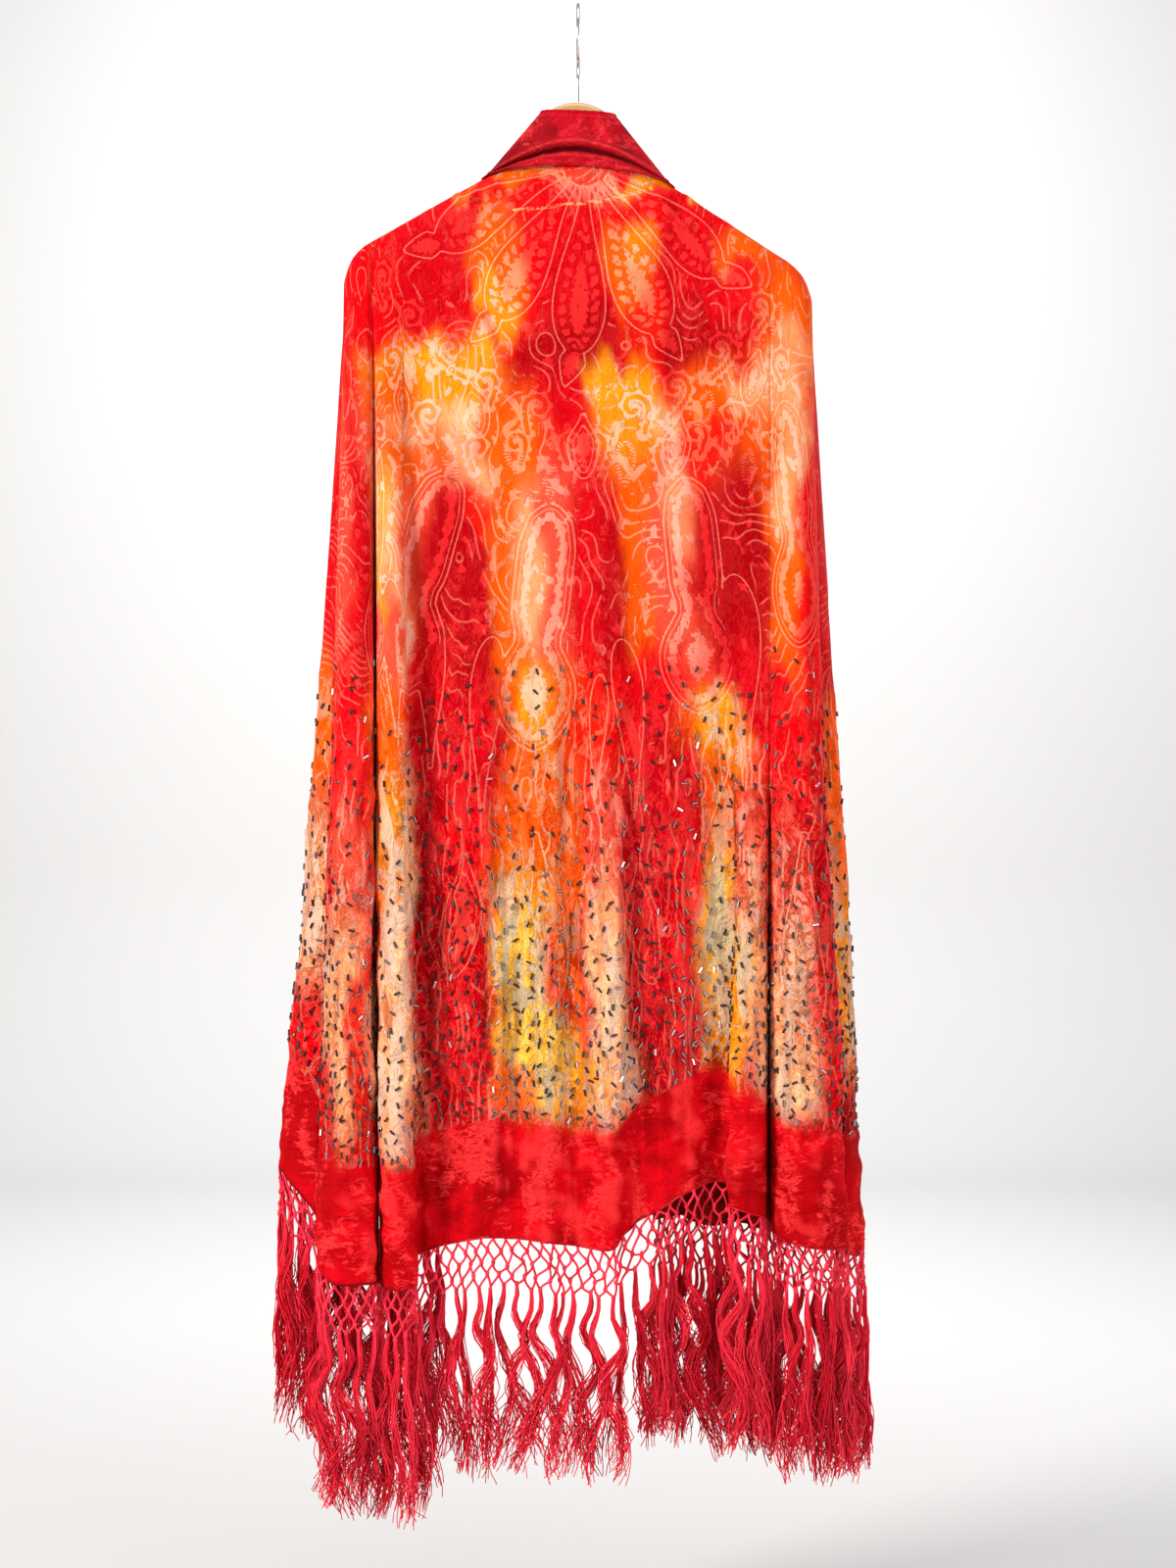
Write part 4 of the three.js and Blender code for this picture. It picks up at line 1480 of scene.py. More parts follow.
@dataclass(frozen=True)
class BurnoutVelvet:
    """Dyed silk velvet whose pile is burned away in a pattern, with a plain crushed border."""

    line_half: float = 0.72
    wobble: float = 1.7
    ragged: float = 3.8
    soft: float = 0.35
    border: Colour = (0.57, 0.001, 0.006)
    border_ground: Colour = (0.72, 0.10, 0.07)
    wrong_side: Colour = (0.20, 0.008, 0.008)

    def stroke(self, to_middle: Level, half: Scalar) -> Level:
        """Draws a line where a distance is under its half width."""
        return (half - abs(to_middle)).ramp(-self.soft, self.soft)

    def patch(self, inwards: Level) -> Level:
        """Fills where a distance inwards is above 0."""
        return inwards.ramp(-self.soft, self.soft)

    def figures(self, shader: Shader, wobble: Level, ragged: Level) -> tuple[Level, Level]:
        """Draws outlines and the sheer parts inside them.

        Args:
            shader: The material in the making.
            wobble: Small noise round 0 that makes lines uneven.
            ragged: Larger noise round 0 that makes patches uneven.

        Returns:
            The thin lines and the sheer patches.
        """
        depth = wobble - shader.value("shape")
        drift = shader.cloth_noise(1, 1, 70, 2, 0.5) - 0.5
        beat = shader.value("beat") + drift * 1.3
        wave = ((beat + depth * 0.022) * (2 * math.pi)).cosine()
        small_wave = (beat * (3 * math.pi)).cosine()
        ring, inner = shader.value("ring") + drift * 5, shader.value("inner_line")
        lines = self.stroke(depth, self.line_half) * shader.value("rim")
        lines = lines.larger(self.stroke(depth - inner, self.line_half * 0.6))
        cells = ring * 0.32 + wave * 1.1 - abs(depth - ring) + ragged * 1.5
        cells = cells.smaller(4 * (wave + shader.value("cut")) + ragged * 2)
        islands = (ragged - 1.0) * 3
        heart = depth - shader.value("core") + small_wave * 1.2 + ragged * 1.7
        return lines, self.patch(cells.larger(heart)) * (1 - self.patch(islands))

    def sprigs(self, shader: Shader, wobble: Level, ragged: Level) -> Level:
        """Draws leaves, and the spiked sheer edge round each curl.

        Args:
            shader: The material in the making.
            wobble: Small noise round 0 that makes lines uneven.
            ragged: Larger noise round 0 that makes patches uneven.

        Returns:
            Where they show.
        """
        leaves = self.patch(wobble + ragged * 0.55 - shader.value("leaf"))
        curl = shader.value("curl") + wobble * 0.5
        spikes = abs((shader.value("curl_beat") * math.pi).cosine()).power(3) * 3.2
        halo = (curl - 2.3).smaller(4.3 + spikes + ragged * 0.5 - curl)
        return leaves.larger(self.patch(halo))

    def marbling(self, shader: Shader, fine: Level) -> tuple[Level, Level]:
        """Draws the swirling lines round the figures and the upright ones below, with sheer ribbons.

        Args:
            shader: The material in the making.
            fine: Small noise from 0 to 1.

        Returns:
            The lines and the ribbons.
        """
        low = shader.value("low")
        vein = shader.value("vein")
        to_line = abs(vein.fraction() - 0.5) / shader.value("vein_grade")
        breaks = shader.cloth_noise(1, 0.55, 46, 3, 0.6, 0.6)
        lines = (0.3 + fine * 1.3 - to_line).ramp(-0.4, 0.4) * (breaks - 0.42).ramp(0, 0.09)
        half_speed = (vein * 0.5 + 0.25).fraction()
        zone = shader.cloth_noise(1, 0.32, 24, 3, 0.6, 0.8)
        rare = 0.585 - 0.085 * shader.value("pale")
        ribbon = (half_speed - 0.5).ramp(0, 0.05) * (zone - rare).ramp(0, 0.02) * low.ramp(0.05, 0.6)
        blot = shader.cloth_noise(1, 0.65, 42, 3, 0.6, 1.6)
        blots = (blot - 0.575).ramp(0, 0.008)
        for ring in (0.61, 0.66):
            blots = blots * abs(blot - ring).ramp(0.004, 0.01)
        away = shader.value("shape").ramp(2.5, 5) * shader.value("curl").ramp(7, 10)
        away = away * (1 - shader.value("border").ramp(-3, 0))
        ribbon = ribbon.larger(blots * low.ramp(0.05, 0.6).larger(away))
        return lines * low.ramp(0.15, 0.8).larger(away * 0.85), ribbon

    def strokes(self, shader: Shader) -> Level:
        """Scatters feathery strokes where the pattern is loose.

        Args:
            shader: The material in the making.

        Returns:
            Where they show.
        """
        strokes = shader.cloth_noise(1, 0.6, 150, 3, 0.6, 1.0)
        zones = shader.cloth_noise(1, 0.5, 20, 2, 0.5)
        away = shader.value("shape").ramp(1.5, 4)
        return (strokes + zones * 0.6 - 0.985).ramp(0, 0.02) * away

    def crushed(self, shader: Shader) -> tuple[Level, Level]:
        """Works out the painted highlights and painted shade of flattened pile.

        Args:
            shader: The material in the making.

        Returns:
            The painted highlight strokes and the painted shade patches.
        """
        border = shader.value("border").ramp(-10, 4)
        broad = shader.cloth_noise(1.0, 0.5, 26, 3, 0.55, 0.9)
        upright = shader.cloth_noise(1.2, 0.62, 150, 5, 0.74, 1.8)
        flowing = shader.cloth_noise(0.6, 1.15, 95, 5, 0.76, 1.9)
        feather = upright * (1 - border) + (flowing + 0.05) * border
        streak = shader.cloth_noise(0.7, 1.0, 330, 4, 0.7, 1.2)
        # Painted highlights of crushed pile: light strokes laid into the colour.
        light = (broad * 1.05 + feather * 0.95 - 1.07).ramp(0, 0.12) * (streak - 0.36).ramp(0, 0.16)
        # Painted shade of crushed pile: dark patches laid into the colour.
        dark = (shader.cloth_noise(1, 0.5, 15, 3, 0.5, 0.8) - 0.48).ramp(0, 0.12)
        return light, dark

    def creased(self, shader: Shader) -> tuple[Level, Level, Level]:
        """Draws the crinkles of cloth that was twisted to dry.

        Args:
            shader: The material in the making.

        Returns:
            How high the crinkles stand, their worn tops, and the hollows between them.
        """
        crinkle = shader.cloth_noise(1, 0.45, 66, 4, 0.62, 1.5)
        small = shader.cloth_noise(1, 0.45, 190, 3, 0.65, 0.9)
        swell = shader.cloth_noise(0.6, 1.0, 44, 4, 0.58, 0.8)
        border = shader.value("border").ramp(-8, 2)
        upright = 1 - abs(crinkle * 2 - 1)
        # Painted highlights along the crinkle tops.
        crest_highlights = (upright + small * 0.07 - 0.965).ramp(0, 0.05) * (1 - border)
        # Painted shade in the valleys between the crinkles.
        valley_shade = (0.8 - upright).ramp(0, 0.22) * (1 - border)
        return upright * (1 - border) + swell * border + small * 0.22, crest_highlights, valley_shade

    def material(self) -> Material:
        """Builds the finish.

        Returns:
            The material.
        """
        shader = Shader("burnout_velvet")
        fine = shader.cloth_noise(1, 1, 420, 2, 0.6)
        rough_noise = shader.cloth_noise(1, 0.7, 170, 4, 0.65, 0.3)
        wobble, ragged = (fine - 0.5) * self.wobble, (rough_noise - 0.5) * self.ragged * 2
        blotch = shader.cloth_noise(1, 0.5, 80, 4, 0.62, 0.5)
        border = self.patch((shader.value("border") + ragged * 1.5) * 0.3)
        bleed = (shader.value("border") + ragged * 1.6 + (blotch - 0.5) * 38).ramp(-24, 9)
        dye = shader.mix(bleed, shader.colour("dye"), self.border)
        ground = shader.mix(bleed, shader.colour("ground"), self.border_ground)
        lines, patches = self.figures(shader, wobble, ragged)
        vein_lines, ribbons = self.marbling(shader, fine)
        lines = lines.larger(vein_lines * 0.8) * (1 - border)
        patches = patches.larger(self.sprigs(shader, wobble, ragged)).larger(ribbons)
        patches = patches.larger(self.strokes(shader)) * (1 - border)
        # Painted highlights and painted shade of the crushed pile.
        light, dark = self.crushed(shader)
        crush = shader.value("crush")
        height, crest_highlights, valley_shade = self.creased(shader)
        pile = shader.cloth_noise(1, 0.6, 900, 3, 0.6)
        # Painted highlight on the crests of the cloth's relief, and painted shade in its hollows.
        crest = shader.value("rise").ramp(0.8, 4.2) * (0.35 + pile * 0.9)
        hollow = (0 - shader.value("rise")).ramp(0.4, 3.6)
        # Painted highlights: crushed-pile strokes, crinkle tops and relief crests together.
        painted_highlights = (light.larger(crest_highlights * 0.85) * crush).larger(crest * 0.8)

        velvet = shader.mix(1.0, dye, (0.86, 0.62, 0.56), "MULTIPLY")
        velvet = shader.mix(((pile - 0.5) * 0.9 + blotch * 0.9).ramp(0.1, 0.62), velvet, dye)
        # Painted shade: crushed-pile dark patches, crinkle valleys and relief hollows darken the velvet.
        painted_shade = (dark.larger(valley_shade * 0.8) * crush).larger(hollow * 0.8)
        velvet = shader.mix(painted_shade * 0.65, velvet, shader.mix(1.0, dye, (0.45, 0.25, 0.23), "MULTIPLY"))
        # A lit copy of the dye, the colour of the painted highlights.
        lit = shader.mix(1.0, dye, (1.4, 1.3, 1.4), "MULTIPLY")
        velvet = shader.mix(painted_highlights * 0.92, velvet, shader.mix(1.0, lit, (0.32, 0.030, 0.026), "SCREEN"))
        sheer = shader.mix((blotch - 0.42).ramp(0, 0.3) * 0.35, ground, shader.mix(0.5, ground, dye))
        outline = shader.mix(0.14, ground, (1.0, 0.62, 0.40))
        body = shader.mix(patches, velvet, sheer)
        body = shader.mix(lines, body, outline)
        # More painted shade in the relief's hollows, over the burned pattern too.
        body = shader.mix(hollow * 0.25, body, shader.mix(1.0, dye, (0.40, 0.2, 0.2), "MULTIPLY"))
        # Painted highlight along the pressed creases: the pile turns lighter and more orange near them.
        worn = (0.8 + fine * 1.4 - shader.value("worn")).ramp(-0.5, 0.4) * (rough_noise - 0.36).ramp(0, 0.12)
        body = shader.mix(worn * 0.8, body, (0.88, 0.40, 0.15))
        body = shader.mix(shader.value("wrong_side") * 0.7, body, self.wrong_side)

        burned = lines.larger(patches)
        normal = shader.bump((1 - burned) * 0.6 + pile * 0.12, 0.8, 0.001)
        normal = shader.bump(height * crush, 1.0, 0.0085, normal)
        rough = 0.56 + pile * 0.2 - burned * 0.06 - painted_highlights * 0.14
        return shader.finish(
            Base_Color=body,
            Roughness=rough,
            Normal=normal,
            Specular_IOR_Level=0.025,
            Sheen_Weight=0.03,
            Sheen_Roughness=0.4,
            Sheen_Tint=(1.0, 0.2, 0.1),
        )


@dataclass(frozen=True)
class CrushedVelvet:
    """Plain crimson velvet with flattened pile, for the band, hems and rolled edges."""

    base: Colour = (0.50, 0.001, 0.010)
    # light and dark are the colours of the painted highlights and painted shade of the pile.
    light: Colour = (0.86, 0.050, 0.055)
    dark: Colour = (0.15, 0.000, 0.003)

    def material(self) -> Material:
        """Builds the finish.

        Returns:
            The material.
        """
        shader = Shader("crushed_velvet")
        place = shader.solid_place((0.7, 1, 1))
        broad = shader.noise(place, 38, 3, 0.55, 0.8)
        feather = shader.noise(place, 230, 5, 0.72, 1.4)
        pile = shader.noise(place, 1000, 2, 0.6)
        # Painted highlights and painted shade of crushed pile, as light strokes and dark patches.
        light = (broad * 0.7 + feather * 0.7 - 0.72).ramp(0, 0.16)
        dark = (shader.noise(place, 24, 2) - 0.46).ramp(0, 0.16)
        body = shader.mix(dark * 0.8, self.base, self.dark)
        # Painted highlight along the crests of the band's roll.
        roll_highlight = shader.value("top") * (feather - 0.3).ramp(0, 0.3) * 0.8
        body = shader.mix((light * 0.85).larger(roll_highlight), body, self.light)
        body = shader.mix(0.35, body, shader.mix(pile, self.dark, body))
        # Painted shadow in the groove under the band's roll.
        body = shader.mix(shader.value("hollow").ramp(0.2, 0.9) * 0.92, body, (0.07, 0.0, 0.001))
        normal = shader.bump(pile, 0.35, 0.0006)
        normal = shader.bump(feather + broad, 0.6, 0.003, normal)
        return shader.finish(
            Base_Color=body,
            Roughness=0.5 + pile * 0.15 - light * 0.1,
            Normal=normal,
            Specular_IOR_Level=0.05,
            Sheen_Weight=0.05,
            Sheen_Roughness=0.35,
            Sheen_Tint=(1.0, 0.2, 0.12),
        )


@dataclass(frozen=True)
class SilkYarn:
    """Twisted crimson silk, each thread a little lighter or darker."""

    name: str
    dark: Colour = (0.50, 0.001, 0.012)
    light: Colour = (1.0, 0.038, 0.075)
    twist: float = 900

    def material(self) -> Material:
        """Builds the finish.

        Returns:
            The material.
        """
        shader = Shader(self.name)
        strands = shader.noise(shader.solid_place((1, 1, 0.16)), self.twist, 2, 0.5)
        patchy = shader.noise(shader.solid_place((1, 1, 0.5)), 45, 3, 0.5)
        shade = (shader.value("tint") * 0.62 + strands * 0.3 + patchy * 0.4 - 0.3).ramp(0, 0.85)
        body = shader.mix(shade, self.dark, self.light)
        normal = shader.bump(strands, 0.3, 0.0004)
        return shader.finish(
            Base_Color=body,
            Roughness=0.34 + strands * 0.2,
            Normal=normal,
            Specular_IOR_Level=0.12,
            Sheen_Weight=0.04,
            Sheen_Roughness=0.3,
            Sheen_Tint=(1.0, 0.2, 0.2),
        )


@dataclass(frozen=True)
class LustreGlass:
    """Dark glass with a thin rainbow lustre, for bugle beads."""

    def material(self) -> Material:
        """Builds the finish.

        Returns:
            The material.
        """
        shader = Shader("lustre_glass")
        tint = shader.value("tint")
        stops = (
            (0.0, (0.012, 0.006, 0.010)),
            (0.5, (0.026, 0.010, 0.014)),
            (0.66, (0.030, 0.034, 0.028)),
            (0.82, (0.09, 0.05, 0.07)),
            (0.93, (0.30, 0.22, 0.22)),
            (1.0, (0.85, 0.75, 0.78)),
        )
        body = shader.node("ShaderNodeValToRGB", {"stops": stops}, {"Fac": tint})
        silvery = tint.ramp(0.3, 0.9) * 0.7
        return shader.finish(Base_Color=body, Roughness=0.16, Metallic=silvery, Coat_Weight=0.6)


@dataclass(frozen=True)
class LacqueredBeech:
    """Pale beech under clear lacquer, with grain along the hanger."""

    def material(self) -> Material:
        """Builds the finish.

        Returns:
            The material.
        """
        shader = Shader("lacquered_beech")
        grain = shader.noise(shader.solid_place((9, 70, 110)), 3.4, 5, 0.6, 0.5)
        fibre = shader.noise(shader.solid_place((30, 900, 900)), 1.3, 2, 0.6)
        pores = shader.noise(shader.solid_place((60, 700, 700)), 1.0, 1, 0.5)
        body = shader.mix(grain, (0.42, 0.21, 0.075), (0.66, 0.40, 0.18))
        body = shader.mix(fibre * 0.35, body, (0.36, 0.17, 0.06))
        body = shader.mix((0.36 - pores).ramp(0, 0.06) * 0.5, body, (0.20, 0.09, 0.03))
        normal = shader.bump(fibre, 0.12, 0.0004)
        return shader.finish(Base_Color=body, Roughness=0.34 + fibre * 0.12, Normal=normal, Coat_Weight=0.35)


@dataclass(frozen=True)
class PolishedWire:
    """Plated steel wire with faint drawing marks."""

    def material(self) -> Material:
        """Builds the finish.

        Returns:
            The material.
        """
        shader = Shader("polished_wire")
        marks = shader.noise(shader.solid_place((1, 1, 0.2)), 420, 3, 0.6)
        stain = shader.noise(shader.solid_place(), 60, 2, 0.5)
        body = shader.mix(stain, (0.50, 0.48, 0.45), (0.74, 0.72, 0.69))
        normal = shader.bump(marks, 0.15, 0.0003)
        return shader.finish(Base_Color=body, Metallic=1.0, Roughness=0.16 + marks * 0.18, Normal=normal)


@dataclass(frozen=True)
class PlainPaint:
    """A pale matt surface for the floor and backdrop."""

    colour: Colour = (0.62, 0.61, 0.60)

    def material(self) -> Material:
        """Builds the finish.

        Returns:
            The material.
        """
        shader = Shader("pale_floor")
        cloud = shader.noise(shader.solid_place(), 2.2, 3, 0.5)
        body = shader.mix(cloud * 0.25, self.colour, tuple(0.9 * part for part in self.colour))
        return shader.finish(Base_Color=body, Roughness=0.9)


# The shawl's pieces


@dataclass(frozen=True)
class Crease:
    """A soft pressed line between two points of the back."""

    start: tuple[float, float]
    end: tuple[float, float]
    height: float
    width: float
    # Whether a painted highlight runs along the crease.
    worn: bool = False

    def near(self, x: Array, z: Array) -> tuple[Array, Array]:
        """Measures places on the back against the crease.

        Args:
            x: Sideways places.
            z: Heights.

        Returns:
            How far they are from it, and the share of its length at the nearest point.
        """
        edge = np.subtract(self.end, self.start)
        to_point = np.stack([x, z], axis=-1) - np.array(self.start)
        share = np.clip((to_point @ edge) / (edge @ edge), 0, 1)
        return np.linalg.norm(to_point - share[..., None] * edge, axis=-1), share

    def rise(self, x: Array, z: Array) -> Array:
        """Gives how far the crease lifts places on the back.

        Args:
            x: Sideways places.
            z: Heights.

        Returns:
            Heights in millimetres.
        """
        away, share = self.near(x, z)
        fade = np.sin(np.clip(share, 0.02, 0.98) * math.pi) ** 0.5
        return self.height * fade * np.exp(-((away / self.width) ** 2))


CREASES = (
    Crease((-62, -199), (22, -190), 1.6, 2.6, True),
    Crease((22, -190), (70, -178), 1.4, 2.6, True),
    Crease((-140, -214), (-60, -199), 1.4, 3.0),
    Crease((70, -178), (126, -204), 1.4, 3.0),
    Crease((8, -196), (9, -590), 1.1, 2.2),
    Crease((-6, -640), (-2, -980), 1.6, 3.4),
    Crease((60, -600), (70, -1060), 2.4, 5.0),
    Crease((-100, -640), (-118, -1050), 2.2, 6.0),
    Crease((128, -560), (136, -1000), 2.0, 5.0),
    Crease((-70, -760), (-84, -1160), 2.4, 5.0),
    Crease((34, -820), (26, -1170), 2.8, 5.0),
    Crease((96, -880), (110, -1110), 2.2, 5.0),
    Crease((-232, -330), (-246, -900), 1.5, 4.0),
    Crease((206, -340), (222, -900), 1.8, 4.0),
    Crease((-150, -300), (-164, -620), -1.8, 6.0),
    Crease((178, -300), (186, -640), -1.8, 6.0),
    Crease((-40, -1090), (-70, -1130), 2.0, 4.0),
    Crease((20, -1130), (52, -1112), 2.6, 4.0),
    Crease((60, -1095), (98, -1080), 2.0, 4.0),
)


@dataclass
class ClothStretch:
    """One stretch of the shawl's cloth as a thin shell."""

    name: str
    start: float
    end: float
    column_step: float
    row_step: float
    facing: int
    bath: DyeBath
    thickness: float = 1.1
    border_height: float = 110
    over_arm_rows: int = 11
    hang: float = 930
    sunk: float = 0.2
    # Distance up to which the painted crease highlight is measured.
    highlight_reach: float = 30
    ripple: tuple[float, float] = (1.4, 4.5)
    pucker: tuple[float, float] = (0.6, 2.4)
    ridge_height: float = 5.5
    crushed_height: float = 7.5
    gather_height: float = 9

    def columns(self) -> Array:
        """Spaces the columns evenly along the cloth."""
        low, high = CLOTH_MAP.at(np.array([self.start, self.end]))
        return CLOTH_MAP.columns(np.linspace(low, high, max(3, round((high - low) / self.column_step)) + 1))

    def rows(self) -> Array:
        """Spaces the rows over the arm and down to the hem."""
        over = np.linspace(0, 1, self.over_arm_rows + 1)
        return np.concatenate([over, 1 + np.linspace(0, 1, round(self.hang / self.row_step) + 1)[1:]])

    def relief(self, places: Array, grid: Array, to_hem: Array) -> Array:
        """Works out how far creases, ripples and crumpling lift the cloth.

        Args:
            places: Sideways and height places on the flat cloth.
            grid: Points of the plain form.
            to_hem: Distance up from the hem.

        Returns:
            Heights in millimetres.
        """
        across, z = places[..., 0], places[..., 1]
        low = smoothstep(-480, -900, z)
        plain = smoothstep(132, 96, to_hem)
        ripple = ValueNoise(21).fractal(across / 26, z / 330, 3) - 0.5
        ripple = ripple * (self.ripple[0] + self.ripple[1] * low)
        ridges = 1 - 2 * abs(ValueNoise(22).fractal(across / 15, z / 120, 2) - 0.5)
        pucker = ValueNoise(24).fractal(across / 9, z / 24, 3) - 0.5
        pucker = pucker * (self.pucker[0] + self.pucker[1] * low)
        slack = across + 0.55 * z
        crush = (ValueNoise(23).fractal(slack / 26, z / 17, 3) - 0.5) * self.crushed_height * plain
        ridges = self.ridge_height * (ridges**3 - 0.4) * low * (1 - 0.5 * plain)
        total = ripple + ridges + pucker + crush
        if self.facing < 0:
            total = total + self.gathers(grid)
            for crease in CREASES:
                total = total + crease.rise(grid[..., 0], grid[..., 2])
        return total

    def gathers(self, grid: Array) -> Array:
        """Bunches the cloth in slanted crinkles on both sides of the neck band's foot.

        Args:
            grid: Points of the plain form.

        Returns:
            Heights in millimetres.
        """
        x, z = grid[..., 0], grid[..., 2]
        beside = np.exp(-(((x + 108) / 46) ** 2)) + np.exp(-(((x - 106) / 42) ** 2))
        near = smoothstep(-232, -198, z) * beside
        slant = z + 0.5 * abs(x)
        ridged = 1 - 2 * abs(ValueNoise(25).fractal(x / 30, slant / 13, 2) - 0.5)
        return self.gather_height * near * (ridged**4 - 0.25)

    def worn(self, grid: Array) -> Array:
        """Measures how far points of the plain form are from a crease with a painted highlight, up to a
        limit.

        Args:
            grid: Points of the plain form.

        Returns:
            Distances in millimetres.
        """
        nearest = np.full(grid.shape[:2], self.highlight_reach)
        if self.facing < 0:
            for crease in CREASES:
                if crease.worn:
                    nearest = np.minimum(nearest, crease.near(grid[..., 0], grid[..., 2])[0])
        return nearest

    def build(self, figures: list[Figure], material: Material) -> Piece:
        """Builds the shell with its pattern and dye.

        Args:
            figures: The pattern's figures.
            material: The velvet finish.

        Returns:
            The piece.
        """
        across, down = self.columns(), self.rows()
        grid = DRAPE.grid(across, down)
        normals = grid_normals(grid)
        sideways = np.broadcast_to(CLOTH_MAP.at(across), grid.shape[:2])
        places = np.stack([sideways, grid[..., 2]], axis=-1)
        to_hem = grid[..., 2] - grid[-1:, :, 2]
        rise = self.relief(places, grid, to_hem)
        edge = np.minimum(np.arange(len(across)), np.arange(len(across))[::-1])
        rise = rise * np.clip(edge / 4, 0, 1) * np.clip(down * 1.4 - 0.15, 0, 1)[:, None]
        ridge = np.abs(grid[0, :, 1]) < 1.0
        normals[0, ridge, 1] = 0
        normals[0] = unit(normals[0])
        outer = grid + normals * (rise - self.sunk)[..., None]
        inner = outer - normals * self.thickness
        for skin in (outer, inner):
            skin[0, :, 1] = self.facing * np.maximum(self.facing * skin[0, :, 1], 0.15)
        points, faces = shell(outer, inner)
        mesh = make_mesh(self.name, points, faces)
        self._dress(mesh, places.reshape(-1, 2), grid.reshape(-1, 3), to_hem.ravel(), figures)
        add_value(mesh, "worn", np.tile(self.worn(grid).ravel(), 2))
        add_value(mesh, "rise", np.tile(rise.ravel(), 2))
        self.outer, self.across, self.down = outer, across, down
        self.normals, self.to_hem = normals, to_hem
        return make_object(self.name, mesh, material)

    def _dress(
        self,
        mesh: Mesh,
        places: Array,
        points: Array,
        to_hem: Array,
        figures: list[Figure],
    ) -> None:
        """Stores the pattern, dye and cloth places on the mesh.

        Args:
            mesh: The mesh.
            places: Places on the flat cloth, in millimetres.
            points: Points of the plain form.
            to_hem: Distance up from the hem.
            figures: The pattern's figures.
        """
        pattern = PatternField(places)
        for figure in figures:
            pattern.draw(figure)
        across, z = places.T
        wave = 2.2 * (ValueNoise(33).fractal(across / 20, z / 40, 2) - 0.5)
        low = smoothstep(-600, -770, z) * smoothstep(104, 122, to_hem)
        values = dict(pattern.values)
        values["leaf"] = pattern.values["leaf"] + 4 * low
        values["vein"] = self._phase(across, z)
        values["vein_grade"] = self._steepness(across, z)
        values["border"] = self.border_height - to_hem + wave
        values["low"] = low
        # Weight of the crinkle relief and of its painted highlights and painted shade, growing towards the
        # bottom.
        values["crush"] = 0.22 + 0.78 * smoothstep(-520, -900, z)
        for name, numbers in values.items():
            add_value(mesh, name, np.tile(numbers, 2))
        add_value(mesh, "wrong_side", np.repeat([0.0, 1.0], len(places)))
        colours = np.tile(self.bath.colours(points[:, 0], points[:, 2]), (2, 1))
        add_colour(mesh, "dye", colours[:, :3])
        add_value(mesh, "pale", smoothstep(0.02, 0.4, colours[:, 1]))
        add_colour(mesh, "ground", colours[:, 3:])
        add_uv(mesh, "cloth", np.tile(places, (2, 1)))

    @staticmethod
    def _phase(across: Array, z: Array) -> Array:
        """Gives the marbling's phase, which rises by 1 from line to line.

        Args:
            across: Sideways places.
            z: Heights.

        Returns:
            The phase.
        """
        broad = 3.4 * ValueNoise(31).fractal(across / 30, z / 150, 3)
        upright = across / 13 + broad + 2.0 * ValueNoise(32).fractal(across / 13, z / 34, 2)
        swirling = across / 60 + 10 * ValueNoise(34).fractal(across / 56, z / 66, 2)
        return lerp(swirling, upright, smoothstep(-470, -700, z))

    def _steepness(self, across: Array, z: Array) -> Array:
        """Measures how fast the marbling's phase changes, per millimetre.

        Args:
            across: Sideways places.
            z: Heights.

        Returns:
            The change of the phase.
        """
        slope_u = (self._phase(across + 1, z) - self._phase(across - 1, z)) / 2
        slope_v = (self._phase(across, z + 1) - self._phase(across, z - 1)) / 2
        return np.maximum(np.hypot(slope_u, slope_v), 0.04)

    def place_on(self, column: float, row: float) -> tuple[Array, Array, Array]:
        """Finds a point of the outer skin.

        Args:
            column: Place across, in columns.
            row: Place down, in rows.

        Returns:
            The point, the outward normal and the direction down the cloth.
        """
        r, c = min(int(row), len(self.down) - 2), min(int(column), len(self.across) - 2)
        corners = self.outer[r : r + 2, c : c + 2]
        top, bottom = lerp(corners[:, 0], corners[:, 1], column - c)
        return lerp(top, bottom, row - r), self.normals[r, c], unit(bottom - top)

    def hem(self) -> tuple[Array, Array]:
        """Gives the hem's points and outward directions, from left to right."""
        return self.outer[-1], unit(self.normals[-1] * np.array([1, 1, 0]))


